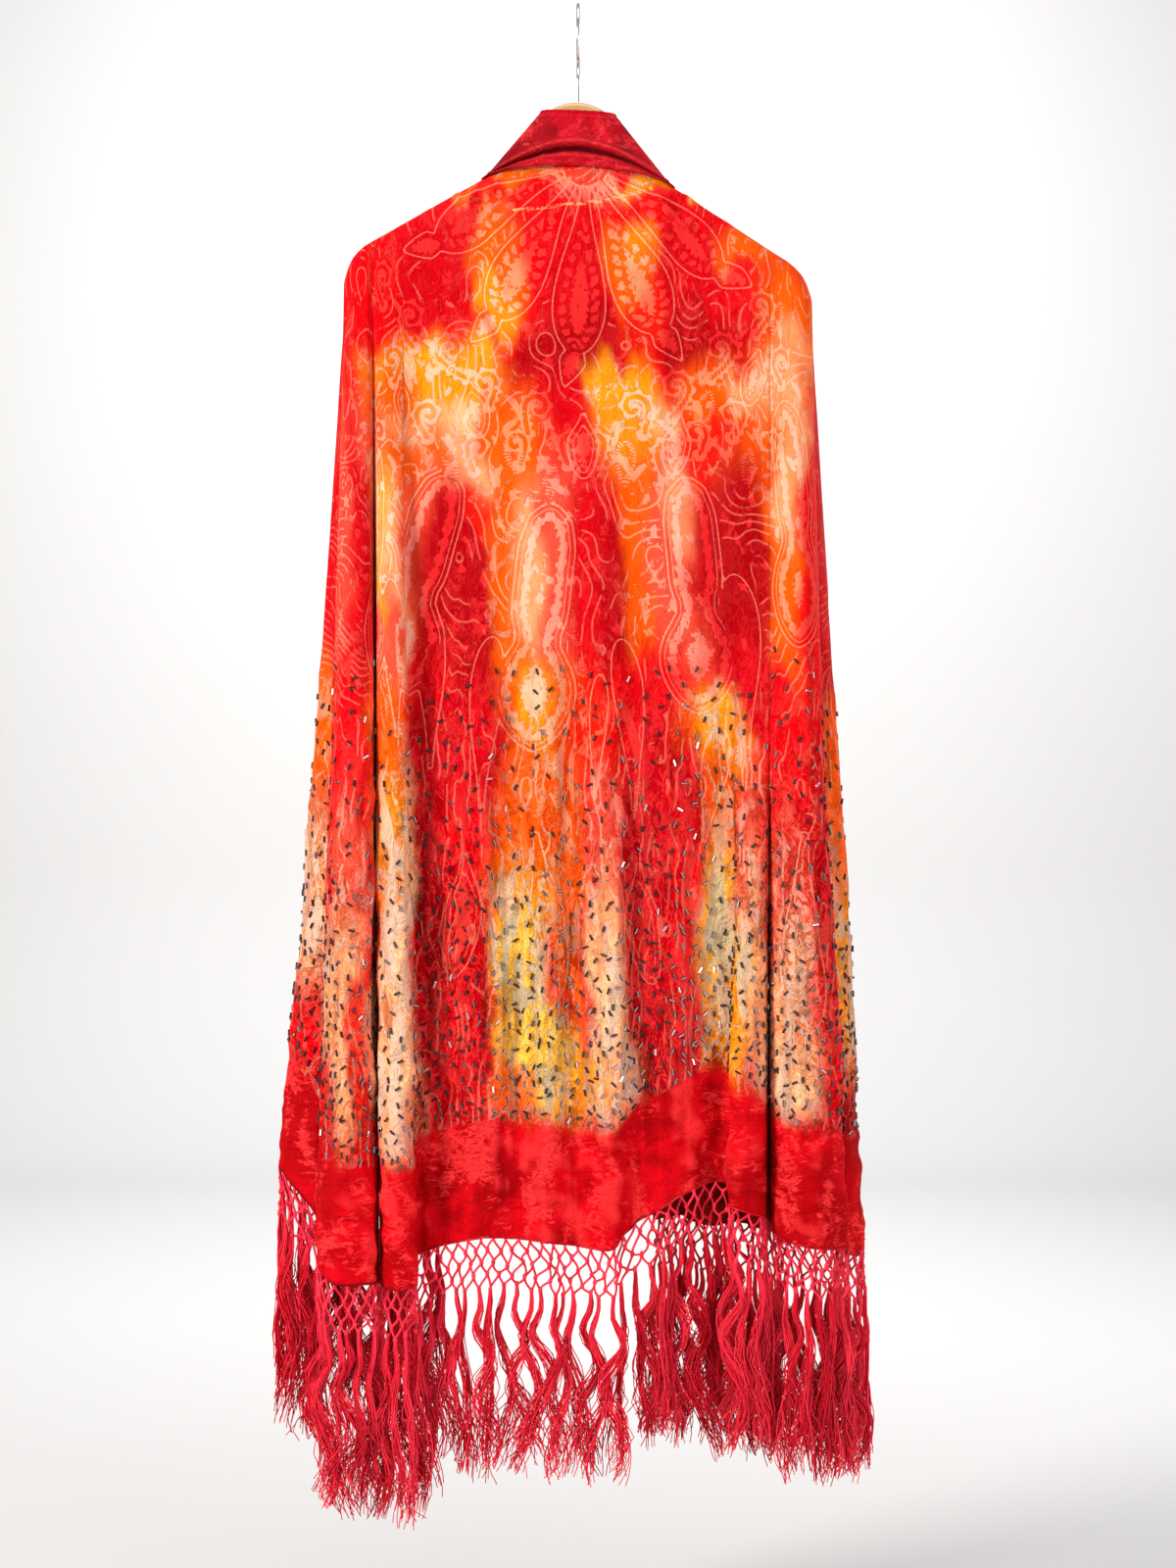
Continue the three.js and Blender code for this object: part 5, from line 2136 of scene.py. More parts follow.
@dataclass(frozen=True)
class BeadScatter:
    """Bugle beads sewn at random turns over the lower half, closer towards the border."""

    length: float = 6.2
    radius: float = 1.15
    sides: int = 6
    first_z: float = -640
    dense_z: float = -1060
    sparse_step: float = 22.5
    dense_step: float = 12
    border_clear: float = 116
    edge_clear: float = 3
    missing: float = 0.06
    shift: float = 0.3
    stagger: float = 0.35
    row_share: float = 0.92
    upright_share: float = 0.75
    upright_turn: float = 0.62
    free_turn: float = 1.5
    tilt: float = 0.06
    seed: int = 3

    def template(self) -> tuple[Array, Array]:
        """Shapes one bead along X with chamfered ends.

        Returns:
            Its points and quads.
        """
        ends = ((-0.5, 0.72), (-0.45, 1), (0.45, 1), (0.5, 0.72))
        turn = 2 * np.pi * np.arange(self.sides) / self.sides
        rings = []
        for share, width in ends:
            flat = self.radius * width * np.stack([np.cos(turn), np.sin(turn)], axis=1)
            rings.append(np.insert(flat, 0, share * self.length, axis=1))
        last = (len(ends) - 1) * self.sides
        caps = np.array([[0, 3, 2, 1], [0, 5, 4, 3]])
        sides = ring_faces(len(ends), self.sides)[:, ::-1]
        end = last + np.array([[0, 1, 2, 3], [0, 3, 4, 5]])
        return np.concatenate(rings), np.concatenate([sides, caps, end])

    def build(self, name: str, stretch: ClothStretch, material: Material) -> Piece:
        """Sews beads on a stretch of cloth.

        Args:
            name: Name of the piece.
            stretch: The cloth, already built.
            material: The beads' finish.

        Returns:
            The piece.
        """
        rng = np.random.default_rng(self.seed + len(name))
        bead, faces = self.template()
        bundle = Bundle()
        heights = stretch.outer[:, :, 2]
        z = self.first_z
        while z > heights.min():
            share = float(smoothstep(self.first_z, self.dense_z, z))
            step = lerp(self.sparse_step, self.dense_step, share)
            row = int(np.argmin(np.abs(heights[:, heights.shape[1] // 2] - z)))
            along = lengths_along(stretch.outer[row])
            for place in np.arange(rng.uniform(0, step), along[-1], step):
                shifted = place + rng.uniform(-self.shift, self.shift) * step
                down = row + rng.uniform(-self.stagger, self.stagger) * step / stretch.row_step
                column = np.interp(shifted, along, np.arange(len(along)))
                above_hem = stretch.to_hem[int(np.clip(down, 0, len(heights) - 1)), int(column)]
                inside = self.edge_clear < shifted < along[-1] - self.edge_clear
                if inside and above_hem >= self.border_clear and rng.random() >= self.missing:
                    turned = self._turned(rng, bead, *stretch.place_on(column, down))
                    bundle.add(turned, faces, float(rng.random() ** 1.3))
            z -= step * self.row_share
        return make_object(name, bundle.mesh(name, smooth=False), material)

    def _turned(self, rng: Rng, bead: Array, point: Array, normal: Array, below: Array) -> Array:
        """Lays a bead on the cloth, mostly near upright.

        Args:
            rng: Source of its turn.
            bead: Points of the bead along X.
            point: Where it lies.
            normal: The outward direction there.
            below: The direction down the cloth.

        Returns:
            The bead's points.
        """
        upright = rng.random() < self.upright_share
        turn = rng.normal(0, self.upright_turn) if upright else rng.uniform(-self.free_turn, self.free_turn)
        aside = np.cross(normal, below)
        tilt = normal * rng.uniform(-self.tilt, self.tilt)
        axis = unit(below * math.cos(turn) + aside * math.sin(turn) + tilt)
        side = unit(np.cross(normal, axis))
        return bead @ np.stack([axis, side, np.cross(axis, side)]) + point + normal * self.radius * 0.8


class HemLine:
    """A hem as a curve that net and fringe hang from, measured along its length."""

    def __init__(self, stretches: list[ClothStretch]) -> None:
        """Joins the hems of neighbouring stretches from left to right.

        Args:
            stretches: Stretches of cloth, already built.
        """
        hems = [stretch.hem() for stretch in stretches]
        skipped = [0] + [1] * (len(hems) - 1)
        self.points, self.outward = (
            np.concatenate([hem[part][first:] for hem, first in zip(hems, skipped)]) for part in (0, 1)
        )
        self.along = lengths_along(self.points[:, :2])
        self.length = self.along[-1]

    def at(self, place: float) -> Array:
        """Gives the hem's point at a length along it."""
        return sample(place, self.along, self.points)

    def way_out(self, place: float) -> Array:
        """Gives the outward direction at a length along the hem."""
        return unit(sample(place, self.along, self.outward))


@dataclass(frozen=True)
class KnottedNet:
    """A hand-knotted net of silk yarn below a hem, with a lock of fringe from each lowest knot."""

    mesh_width: float = 12.6
    mesh_height: float = 11
    levels: int = 4
    yarn: float = 1.3
    knot: float = 2.15
    uneven: float = 1.7
    seed: int = 8

    def knots(self, hem: HemLine, rng: Rng) -> dict[tuple[int, int], Array]:
        """Places the knots.

        Args:
            hem: The hem that the net hangs from.
            rng: Source of unevenness.

        Returns:
            Points by level and number along the hem.
        """
        count = max(2, round(hem.length / self.mesh_width))
        width = hem.length / count
        made = {}
        for level in range(self.levels + 1):
            uneven = min(level, 1)
            for i in range(count + 1 - level % 2):
                place = (i + 0.5 * (level % 2)) * width
                drift = 9 * (ValueNoise(55).at(place / 40, level * 0.6) - 0.5)
                place += uneven * (rng.normal(0, self.uneven) + drift)
                place = float(np.clip(place, 0.6, hem.length - 0.6))
                point, out = hem.at(place), hem.way_out(place)
                point[2] -= level * self.mesh_height + uneven * (1.5 + rng.normal(0, self.uneven)) + 0.4
                made[level, i] = point - out * 0.6 + uneven * out * rng.normal(0, 0.8)
        return made

    def build(self, name: str, hem: HemLine, material: Material) -> tuple[Piece, list[Array]]:
        """Ties the net.

        Args:
            name: Name of the piece.
            hem: The hem that it hangs from.
            material: The yarn's finish.

        Returns:
            The piece, and the points where the locks of fringe start.
        """
        rng = np.random.default_rng(self.seed + len(name))
        knots = self.knots(hem, rng)
        bundle = Bundle()
        for (level, i), point in knots.items():
            if level > 0:
                self._tie(bundle, point, rng)
            for below in (i - 1 + level % 2, i + level % 2):
                if (level + 1, below) in knots:
                    self._run(bundle, point, knots[level + 1, below], rng)
        ends = [point for (level, _), point in knots.items() if level == self.levels]
        return make_object(name, bundle.mesh(name), material), ends

    def _run(self, bundle: Bundle, start: Array, end: Array, rng: Rng) -> None:
        """Runs a slack yarn between two knots.

        Args:
            bundle: Where the small mesh goes.
            start: The upper knot.
            end: The lower knot.
            rng: Source of unevenness.
        """
        share = np.linspace(0, 1, 7)[:, None]
        path = lerp(start, end, share)
        path[:, :2] = lerp(start[:2], end[:2], smoothstep(0, 1, share) * 0.75 + share * 0.25)
        slack = np.sin(share * np.pi)
        path = path + slack * rng.normal((0, 0, -0.4), (0.9, 0.6, 0.6))
        bundle.add(*tube_along(path, self.yarn * (1.12 - 0.22 * slack[:, 0]), 5), float(rng.uniform(0.25, 1)))

    def _tie(self, bundle: Bundle, point: Array, rng: Rng) -> None:
        """Ties a small upright knot.

        Args:
            bundle: Where the small mesh goes.
            point: Where it goes.
            rng: Source of unevenness.
        """
        height = 2.9 + rng.uniform(-0.5, 0.7)
        path = point + np.linspace(height, -height, 6)[:, None] * np.array([0, 0, 1])
        radii = self.knot * np.array([0.35, 0.85, 1.0, 0.9, 0.8, 0.3])
        bundle.add(*tube_along(path, radii, 6), float(rng.uniform(0.4, 1)))


@dataclass(frozen=True)
class FringeLocks:
    """Locks of fine silk threads that hang from the net's lowest knots."""

    length: float = 180
    threads: int = 25
    thread_radius: float = 0.66
    steps: int = 18
    reach: tuple[float, float] = (-290, 281)
    spread_top: float = 1.4
    spread_end: float = 9
    meander: float = 7.5
    seed: int = 14

    def build(self, name: str, roots: list[Array], material: Material) -> Piece:
        """Hangs a lock from each root.

        Args:
            name: Name of the piece.
            roots: Where the locks start.
            material: The threads' finish.

        Returns:
            The piece.
        """
        rng = np.random.default_rng(self.seed + len(name))
        bundle = Bundle()
        for root in roots:
            self._hang(bundle, root, rng)
        return make_object(name, bundle.mesh(name), material)

    def _hang(self, bundle: Bundle, root: Array, rng: Rng) -> None:
        """Adds one lock: a middle line that swings from side to side, with threads round it.

        Args:
            bundle: Where the small mesh goes.
            root: Where it hangs from.
            rng: Source of unevenness.
        """
        share = np.linspace(0, 1, self.steps + 1)
        phase = 9 * float(ValueNoise(51).at(root[0] / 55, root[1] / 90)) + rng.normal(0, 0.7)
        turns = self.length / rng.uniform(75, 160) * 2 * math.pi
        swing = self.meander * rng.uniform(0.25, 1.5) * smoothstep(0, 0.3, share)
        middle_x = swing * np.sin(turns * share**0.85 + phase) + rng.normal(0, 5) * share
        middle_y = 0.4 * swing * np.cos(turns * share + 1.4 * phase) + rng.normal(0, 2.5) * share
        tint = rng.uniform(0.15, 0.8)
        wide = self.spread_end * rng.uniform(0.5, 1.4)
        length = self.length * rng.uniform(0.9, 1.03)
        parting = smoothstep(rng.uniform(0.2, 0.5), 1.1, share) * rng.normal(0, 7)
        radii = self.thread_radius * (1.1 - 0.25 * share)
        for thread in range(self.threads):
            angle, away = rng.uniform(0, 2 * np.pi), math.sqrt(rng.random())
            spread = away * lerp(self.spread_top, wide * rng.uniform(0.5, 1.3), share**0.9)
            wave = rng.normal(0, 2.8) * np.sin(share * rng.uniform(12, 30) + rng.uniform(0, 6)) * share**0.7
            flare = rng.normal(0, 2.6) * smoothstep(0.6, 1, share)
            side = parting if thread % 3 == 0 else 0
            x = root[0] + middle_x + side + spread * math.cos(angle) + wave + flare
            inside = np.clip(x, *self.reach)
            y = root[1] + middle_y + 0.5 * spread * math.sin(angle) + 0.4 * wave
            z = root[2] - 1 - length * rng.uniform(0.78, 1.0) * share
            path = np.stack([lerp(inside, x, 0.4), y, z], axis=1)
            bundle.add(*tube_along(path, radii, 3), float(np.clip(tint + rng.normal(0, 0.3), 0, 1)))


@dataclass(frozen=True)
class RolledEdge:
    """A narrow hand-rolled hem along an edge of the cloth."""

    radius: float = 1.25
    uneven: float = 0.18
    sides: int = 7

    def build(self, name: str, path: Array, material: Material) -> Piece:
        """Rolls a hem along a path.

        Args:
            name: Name of the piece.
            path: Points of the edge.
            material: The velvet's finish.

        Returns:
            The piece.
        """
        count = len(path)
        wobble = ValueNoise(61).at(np.arange(count) * 0.45, np.zeros(count)) - 0.5
        radii = self.radius * (1 + 2 * self.uneven * wobble)
        points, faces = tube_along(path, radii, self.sides)
        return make_object(name, make_mesh(name, points, faces), material)


@dataclass(frozen=True)
class NeckBand:
    """The plain border turned up and rolled behind the neck, with its stitched top edge."""

    columns: int = 132
    rows: int = 72
    roll_share: float = 0.66
    roll_middle: float = 0.60
    roll_side: float = 0.94
    thickness: float = 1.4
    stitch_pitch: float = 3.4
    stitch_length: float = 2.1
    least_depth: float = 0.3
    form: NeckBandForm = BAND

    def profile(self, share: Array) -> Array:
        """Smooths the section's rolls.

        Args:
            share: Shares of the way down the band.

        Returns:
            How far the section stands out.
        """
        knots, outs = np.array(self.form.shares), np.array(self.form.outs)
        fine = np.linspace(0, 1, 200)
        values = np.interp(fine, knots, outs)
        kernel = np.hanning(19)
        padded = np.pad(values, 9, mode="edge")
        return np.interp(share, fine, np.convolve(padded, kernel / kernel.sum(), mode="valid"))

    def warp(self, share: Array, across: Array) -> Array:
        """Bends the section so that the roll's line arches from corner to corner.

        Args:
            share: Shares of the way down the band.
            across: Places across, from -1 to 1.

        Returns:
            Shares of the way down the section.
        """
        crest = lerp(self.roll_middle, self.roll_side, across**2)
        above, below = share / crest, (share - crest) / (1 - crest)
        return np.where(share < crest, above * self.roll_share, lerp(self.roll_share, 1, below))

    def places(self) -> tuple[Array, Array]:
        """Gives the shares down the band as a column and the angles round it as a row."""
        angle = np.linspace(-np.pi / 2, np.pi / 2, self.columns + 1)
        return np.linspace(0, 1, self.rows + 1)[:, None], angle[None]

    @staticmethod
    def bump(share: Array, middle: float, width: float) -> Array:
        """Rises to 1 at a middle line and falls off on both sides."""
        return np.exp(-(((share - middle) / width) ** 2))

    def surface(self) -> Array:
        """Works out the band's outer skin.

        Returns:
            Rows and columns of points.
        """
        form = self.form
        share, angle = self.places()
        across = np.sin(angle)
        half_width = lerp(form.top_half_width, form.foot_half_width, share)
        warped = self.warp(share, across)
        wrinkle = (ValueNoise(71).fractal(angle * 3.4 + 20, share * 3 + angle * 2.5 + 9, 3) - 0.5) * 7.0
        wrinkle = wrinkle + (ValueNoise(72).fractal(angle * 12 + 20, share * 9, 2) - 0.5) * 1.6
        quiet = smoothstep(0, 0.12, share) * np.cos(angle) ** 0.5
        groove = 5.0 * self.bump(warped, 0.76, 0.04) * np.cos(angle)
        groove = groove - 2.5 * self.bump(warped, 0.64, 0.05) * np.cos(angle)
        out = self.profile(warped.ravel()).reshape(warped.shape) - groove + wrinkle * quiet
        depth = lerp(form.top_depth, form.foot_depth, np.minimum(1, share * 1.6)) + out
        middle_z = lerp(form.top_z, form.foot_z, share)
        end_z = np.array([[ARM.level(float(width))[1] + form.above_arm] for width in half_width[:, 0]])
        y = np.minimum(-depth * (1 - across**2) ** (form.oval_power / 2), -self.least_depth)
        z = lerp(middle_z, end_z, across**2) - ARM.lean * across * half_width - 2.2 * share * across**2
        return np.stack([across * half_width, y, z], axis=-1)

    def build(self, velvet: Material, thread: Material) -> list[Piece]:
        """Builds the band, its rolled top edge and its stitches.

        Args:
            velvet: The band's finish.
            thread: The sewing thread's finish.

        Returns:
            The pieces.
        """
        outer = self.surface()
        normals = grid_normals(outer)
        inner = outer - normals * self.thickness
        inner[..., 1] = np.minimum(inner[..., 1], -self.least_depth)
        mesh = make_mesh("neck_band_velvet", *shell(outer, inner))
        share, angle = self.places()
        warped = self.warp(share, np.sin(angle))
        # Stores painted shade for the groove under the roll and painted highlights for the roll's crests.
        ends = np.cos(angle) ** 0.5
        crest_highlights = self.bump(warped, 0.655, 0.03) + self.bump(warped, 0.84, 0.03)
        for name, values in (("hollow", self.bump(warped, 0.75, 0.045)), ("top", crest_highlights)):
            add_value(mesh, name, np.tile((values * ends).ravel(), 2))
        band = make_object("neck_band_velvet", mesh, velvet)
        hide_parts("neck_band")
        path = outer[0, 2:-2] - normals[0, 2:-2] * 0.5
        roll = RolledEdge(radius=1.35).build("neck_band_rolled_edge", path, velvet)
        return [band, roll, self._stitches(outer, normals, thread)]

    def _stitches(self, outer: Array, normals: Array, thread: Material) -> Piece:
        """Sews a row of stitches below the top edge and one along the foot.

        Args:
            outer: The band's outer skin.
            normals: Its outward directions.
            thread: The sewing thread's finish.

        Returns:
            The piece.
        """
        bundle = Bundle()
        rng = np.random.default_rng(4)
        for row in (6, self.rows - 4):
            line, ways = outer[row], normals[row]
            along = lengths_along(line)
            for place in np.arange(4, along[-1] - 4, self.stitch_pitch):
                ends = place + self.stitch_length * np.array([0, 0.5, 1])
                path = np.array([sample(end, along, line) for end in ends])
                path = path + sample(place, along, ways) * np.array([[0.1], [0.45], [0.1]])
                bundle.add(*tube_along(path, np.array([0.2, 0.3, 0.2]), 5), float(rng.uniform(0.3, 0.9)))
        return make_object("neck_band_stitches", bundle.mesh("neck_band_stitches"), thread)


class Shawl:
    """The whole shawl: cloth, beads, net, fringe and sewing."""

    PLEAT_STEP = 3.2
    MIDDLE_STEP = 3.3
    FRONT_STEP = 5

    def __init__(self) -> None:
        """Plans the stretches of cloth."""
        back = DyeBath(BACK_POOLS)
        fronts = DyeBath(FRONT_POOLS, Dye.CRIMSON)
        last = len(DRAPE.lines) - 1
        first, end = DRAPE.back_first, DRAPE.back_last
        left_groove, right_groove = DRAPE.line("left groove"), DRAPE.line("right groove")
        pleats, middle, plain = self.PLEAT_STEP, self.MIDDLE_STEP, self.FRONT_STEP
        self.left_side = ClothStretch("back_left_pleats", first, left_groove, pleats, pleats, -1, back)
        self.middle = ClothStretch("back_middle", left_groove, right_groove, middle, middle, -1, back)
        self.right_side = ClothStretch("back_right_pleats", right_groove, end, pleats, pleats, -1, back)
        self.left_front = ClothStretch("left_front_panel", 0, first, plain, plain, 1, fronts)
        self.right_front = ClothStretch("right_front_panel", end, last, plain, plain, 1, fronts)
        self.stretches = (self.middle, self.left_side, self.right_side, self.left_front, self.right_front)

    def build_cloth(self, velvet: Material) -> list[Piece]:
        """Builds the five stretches of cloth.

        Args:
            velvet: The patterned finish.

        Returns:
            The pieces, the middle of the back first.
        """
        plan = PatternPlan()
        pieces = []
        for stretch in self.stretches:
            ends = CLOTH_MAP.at(np.array([stretch.start, stretch.end], float))
            figures = plan.figures() if stretch.facing < 0 else plan.front_figures(*ends)
            pieces.append(stretch.build(figures, velvet))
        for piece, node in ((0, "shawl_back"), (3, "shawl_left_front"), (4, "shawl_right_front")):
            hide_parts(node)
        return pieces

    def build_beads(self, glass: Material) -> list[Piece]:
        """Sews the beads on each stretch."""
        return [BeadScatter().build(f"beads_{stretch.name}", stretch, glass) for stretch in self.stretches]

    def build_fringe(self, yarn: Material, thread: Material) -> list[Piece]:
        """Knots the net and hangs the fringe below each hem.

        Args:
            yarn: The net's finish.
            thread: The fringe's finish.

        Returns:
            The pieces.
        """
        hems = (
            ("back", [self.left_side, self.middle, self.right_side]),
            ("left_front", [self.left_front]),
            ("right_front", [self.right_front]),
        )
        pieces = []
        for name, stretches in hems:
            net, roots = KnottedNet().build(f"net_{name}", HemLine(stretches), yarn)
            locks = FringeLocks().build(f"fringe_locks_{name}", roots, thread)
            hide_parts(f"fringe_{name}")
            pieces += [net, locks]
        return pieces

    def build_edges(self, velvet: Material) -> list[Piece]:
        """Rolls the hems and the two open edges of the fronts.

        Args:
            velvet: The velvet's finish.

        Returns:
            The pieces.
        """
        roll = RolledEdge()
        pieces = []
        for stretch in (self.left_side, self.middle, self.right_side, self.left_front, self.right_front):
            points, outward = stretch.hem()
            path = points - outward * 0.5 + np.array([0, 0, 0.5])
            pieces.append(roll.build(f"rolled_hem_{stretch.name}", path, velvet))
        for stretch, column in ((self.left_front, 0), (self.right_front, -1)):
            path = stretch.outer[2:, column] - stretch.normals[2:, column] * 0.5
            pieces.append(roll.build(f"rolled_edge_{stretch.name}", path[::2], velvet))
        return pieces

    def declare(self, cloth: list[Piece]) -> None:
        """Says how large the cloth was cut that shows.

        Args:
            cloth: The pieces of cloth, in the order of the stretches.
        """
        area = 0.0
        for piece, stretch in zip(cloth, self.stretches):
            grid = stretch.outer
            down, right = (np.linalg.norm(np.diff(grid, axis=axis), axis=2) for axis in (0, 1))
            area += float((down[:, :-1] * right[:-1]).sum()) * MM * MM
        log.info("cloth shown: %.3f square metres", area)


# The hanger


@dataclass(frozen=True)
class WoodenArms:
    """The hanger's shaped wooden arms."""

    half_length: float = 214
    dome_z: float = -91
    dome_radius: float = 46
    half_neck: float = 6
    half_tip: float = 16
    round_from: float = 186
    round_over: float = 31
    depth_neck: float = 40
    depth_tip: float = 24
    cloth: float = 1.6
    clearance: float = 0.8
    stations: int = 180
    arc_steps: int = 20
    foot_steps: int = 5

    def section(self, x: float) -> Array:
        """Shapes the section at a sideways place.

        Args:
            x: Sideways place.

        Returns:
            Points round the section.
        """
        away = abs(x)
        level, steep = ARM.level_at(away)
        under_cloth = level - (self.cloth + self.clearance) * math.hypot(1, steep)
        dome = self.dome_z - self.dome_radius + math.sqrt(max(0, self.dome_radius**2 - x * x))
        top = (dome if away < ARM.neck_reach else min(under_cloth, dome)) - ARM.lean * x
        end = math.sqrt(1 - (max(0, away - self.round_from) / self.round_over) ** 2)
        grow = float(smoothstep(BAND.foot_half_width, ARM.tip_reach, away))
        half = (self.half_neck + (self.half_tip - self.half_neck) * grow) * end
        depth = self.depth_neck + (self.depth_tip - self.depth_neck) * away / self.half_length
        depth = depth * (0.6 + 0.4 * end)
        arch = np.linspace(0, np.pi, self.arc_steps + 1)
        points = [(x, half * math.cos(a), top - half + half * math.sin(a)) for a in arch]
        corner = min(2.5, half * 0.5)
        foot_half, foot_z = half * 0.8, top - depth
        turns = np.linspace(0, 1, self.foot_steps)
        for side in (-1, 1):
            for turn in turns[::-side]:
                angle = turn * np.pi / 2
                y = side * (foot_half - corner + corner * math.cos(angle))
                points.append((x, y, foot_z + corner - corner * math.sin(angle)))
        return np.array(points)

    def build(self, material: Material) -> Piece:
        """Builds the arms.

        Args:
            material: Its finish.

        Returns:
            The piece.
        """
        places = np.linspace(-self.half_length, self.half_length, self.stations + 1)
        rings = np.array([self.section(float(x)) for x in places])
        stations, sides = rings.shape[:2]
        mesh = make_mesh("hanger_arms", rings.reshape(-1, 3), ring_faces(stations, sides))
        self._close_ends(mesh, stations, sides)
        arms = make_object("hanger_arms", mesh, material)
        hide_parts("hanger_wood")
        return arms

    @staticmethod
    def _close_ends(mesh: Mesh, stations: int, sides: int) -> None:
        """Fills the two end sections.

        Args:
            mesh: The mesh.
            stations: Number of sections.
            sides: Number of points in a section.
        """
        work = bmesh.new()
        work.from_mesh(mesh)
        work.verts.ensure_lookup_table()
        work.faces.new([work.verts[i] for i in range(sides)][::-1])
        work.faces.new([work.verts[(stations - 1) * sides + i] for i in range(sides)])
        bmesh.ops.recalc_face_normals(work, faces=work.faces)
        work.to_mesh(mesh)
        work.free()


@dataclass(frozen=True)
class WireHook:
    """The hanger's wire hook in the plane across the arms."""

    wire: float = 1.7
    radius: float = 31
    start: float = -58
    turn: float = 268
    wood_top: float = -91
    in_wood: float = 11.5

    def path(self) -> Array:
        """Draws the wire's middle line.

        Returns:
            Points from the hook's tip to the foot of its shank.
        """
        middle_z = self.wire - self.radius
        angle = np.radians(self.start + self.turn * np.arange(19) / 18)
        loop = [(-self.radius * math.cos(a), middle_z + self.radius * math.sin(a)) for a in angle]
        y, z = loop[-1]
        neck = z - 20
        middle = (neck + self.wood_top) / 2
        shank = [(y * 0.42, z - 7), (0, neck), (0, middle), (0, self.wood_top - self.in_wood)]
        return smooth_line(np.insert(np.array(loop + shank), 0, 0, axis=1), 6)

    def build(self, material: Material) -> Piece:
        """Builds the hook.

        Args:
            material: Its finish.

        Returns:
            The piece.
        """
        path = self.path()
        radii = np.full(len(path), self.wire)
        radii[0], radii[1] = self.wire * 0.35, self.wire * 0.85
        points, faces = tube_along(path, radii, 16)
        hook = make_object("wire_hook", make_mesh("wire_hook", points, faces), material)
        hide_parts("hanger_hook")
        return hook


def smooth_line(knots: Array, steps: int) -> Array:
    """Smooths a line of points.

    Args:
        knots: Points that the curve passes through.
        steps: Points per stretch.

    Returns:
        Points of the curve.
    """
    padded = np.concatenate([knots[:1], knots, knots[-1:]])
    shares = curve_shares(np.linspace(0, 1, steps, endpoint=False))
    made = [shares @ padded[i - 1 : i + 3] for i in range(1, len(padded) - 2)]
    return np.concatenate([*made, knots[-1:]])


# The stage


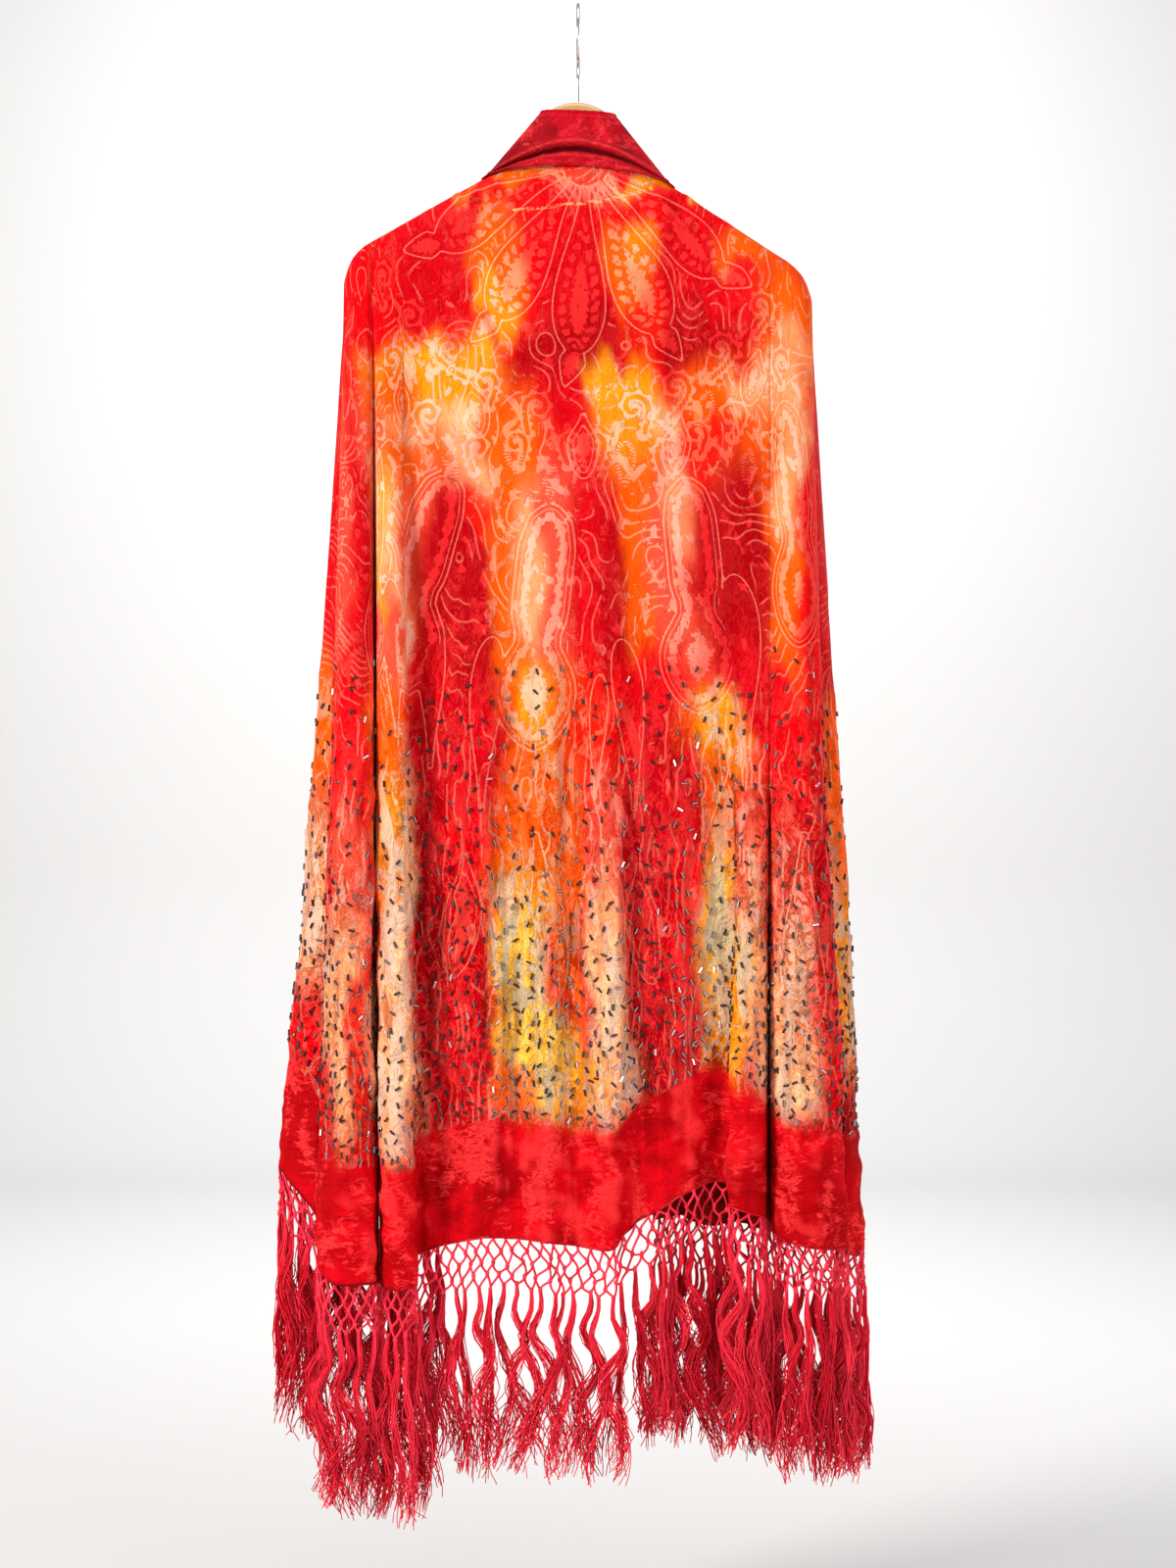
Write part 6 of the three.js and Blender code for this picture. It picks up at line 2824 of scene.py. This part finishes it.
@dataclass(frozen=True)
class Studio:
    """A pale floor and backdrop, soft lights and the camera."""

    photo_width: int = 1200
    photo_height: int = 1600
    pixel: float = 0.94
    origin_px: tuple[float, float] = (590, 8)
    camera_distance: float = 2450
    sensor: float = 36
    floor_z: float = -1640
    floor_depth: float = 3300
    backdrop_bend: float = 700

    def build_floor(self) -> Piece:
        """Lays the floor and curves it up into a backdrop.

        Returns:
            The floor.
        """
        flat, bend = self.floor_depth, self.backdrop_bend
        profile = [(-4200.0, 0.0), (flat, 0.0)]
        for angle in np.linspace(0.1, math.pi / 2, 14):
            profile.append((flat + bend * math.sin(angle), bend - bend * math.cos(angle)))
        profile.append((flat + bend, 4600.0))
        grid = np.array([[(x, y, self.floor_z + z) for y, z in profile] for x in (-5200.0, 5200.0)])
        mesh = make_mesh("pale_floor", grid.reshape(-1, 3), grid_faces(2, len(profile))[:, ::-1])
        floor = bpy.data.objects.new("pale_floor", mesh)
        bpy.context.scene.collection.objects.link(floor)
        mesh.materials.append(PlainPaint().material())
        return floor

    def build_lights(self) -> None:
        """Hangs the soft lights and dims the world."""
        lights = (
            ("key", (-2.3, -1.6, 0.2), (0, 0, -0.9), 108, 0.7, (1.0, 0.98, 0.95)),
            ("fill", (1.6, -2.0, -1.1), (0, 0, -1.1), 40, 1.6, (1.0, 0.98, 0.95)),
            ("top", (0.1, -0.4, 1.7), (0, 0, -0.4), 26, 1.2, (1, 1, 1)),
            ("rim", (1.7, 1.1, 0.2), (0, 0, -0.6), 20, 1.0, (1, 1, 1)),
            ("backdrop", (0, 1.9, 0.9), (0, 4.0, -0.5), 80, 2.4, (1, 1, 1)),
        )
        for name, place, target, power, size, colour in lights:
            light = bpy.data.lights.new(name, "AREA")
            light.energy = power
            light.size = size
            light.color = colour
            holder = bpy.data.objects.new(name, light)
            holder.location = place
            holder.rotation_euler = (Vector(target) - Vector(place)).to_track_quat("-Z", "Y").to_euler()
            bpy.context.scene.collection.objects.link(holder)
        world = bpy.data.worlds.new("studio_air")
        world.use_nodes = True
        background = world.node_tree.nodes["Background"]
        background.inputs["Color"].default_value = (0.93, 0.95, 1.0, 1)
        background.inputs["Strength"].default_value = 0.42
        bpy.context.scene.world = world
        bpy.context.scene.view_settings.view_transform = "Standard"

    def build_camera(self) -> None:
        """Sets the camera level with the photo's middle, looking along +Y."""
        camera = bpy.data.cameras.new("camera")
        camera.sensor_fit = "VERTICAL"
        camera.sensor_height = self.sensor
        camera.lens = self.sensor * self.camera_distance / (self.photo_height * self.pixel)
        holder = bpy.data.objects.new("camera", camera)
        x = (self.photo_width / 2 - self.origin_px[0]) * self.pixel
        z = -(self.photo_height / 2 - self.origin_px[1]) * self.pixel
        holder.location = (x * MM, -self.camera_distance * MM, z * MM)
        holder.rotation_euler = (math.pi / 2, 0, 0)
        bpy.context.scene.collection.objects.link(holder)
        bpy.context.scene.camera = holder


def main() -> None:
    """Builds every piece and its finish."""
    logging.basicConfig(level=logging.INFO, format="%(message)s")
    studio = Studio()
    studio.build_camera()
    studio.build_lights()
    studio.build_floor()

    burnout = BurnoutVelvet().material()
    plain = CrushedVelvet().material()
    yarn = SilkYarn("net_yarn", dark=(0.46, 0.002, 0.016)).material()
    thread = SilkYarn("fringe_silk").material()

    shawl = Shawl()
    cloth = shawl.build_cloth(burnout)
    log.info("cloth: %s", ", ".join(piece.name for piece in cloth))
    beads = shawl.build_beads(LustreGlass().material())
    log.info("beads: %d pieces", len(beads))
    fringe = shawl.build_fringe(yarn, thread)
    log.info("net and fringe: %d pieces", len(fringe))
    edges = shawl.build_edges(plain)
    log.info("rolled edges: %d pieces", len(edges))
    band = NeckBand().build(plain, yarn)
    log.info("neck band: %d pieces", len(band))
    shawl.declare(cloth)

    arms = WoodenArms().build(LacqueredBeech().material())
    hook = WireHook().build(PolishedWire().material())
    log.info("hanger: %s, %s", arms.name, hook.name)


if __name__ == "__main__":
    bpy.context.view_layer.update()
    main()
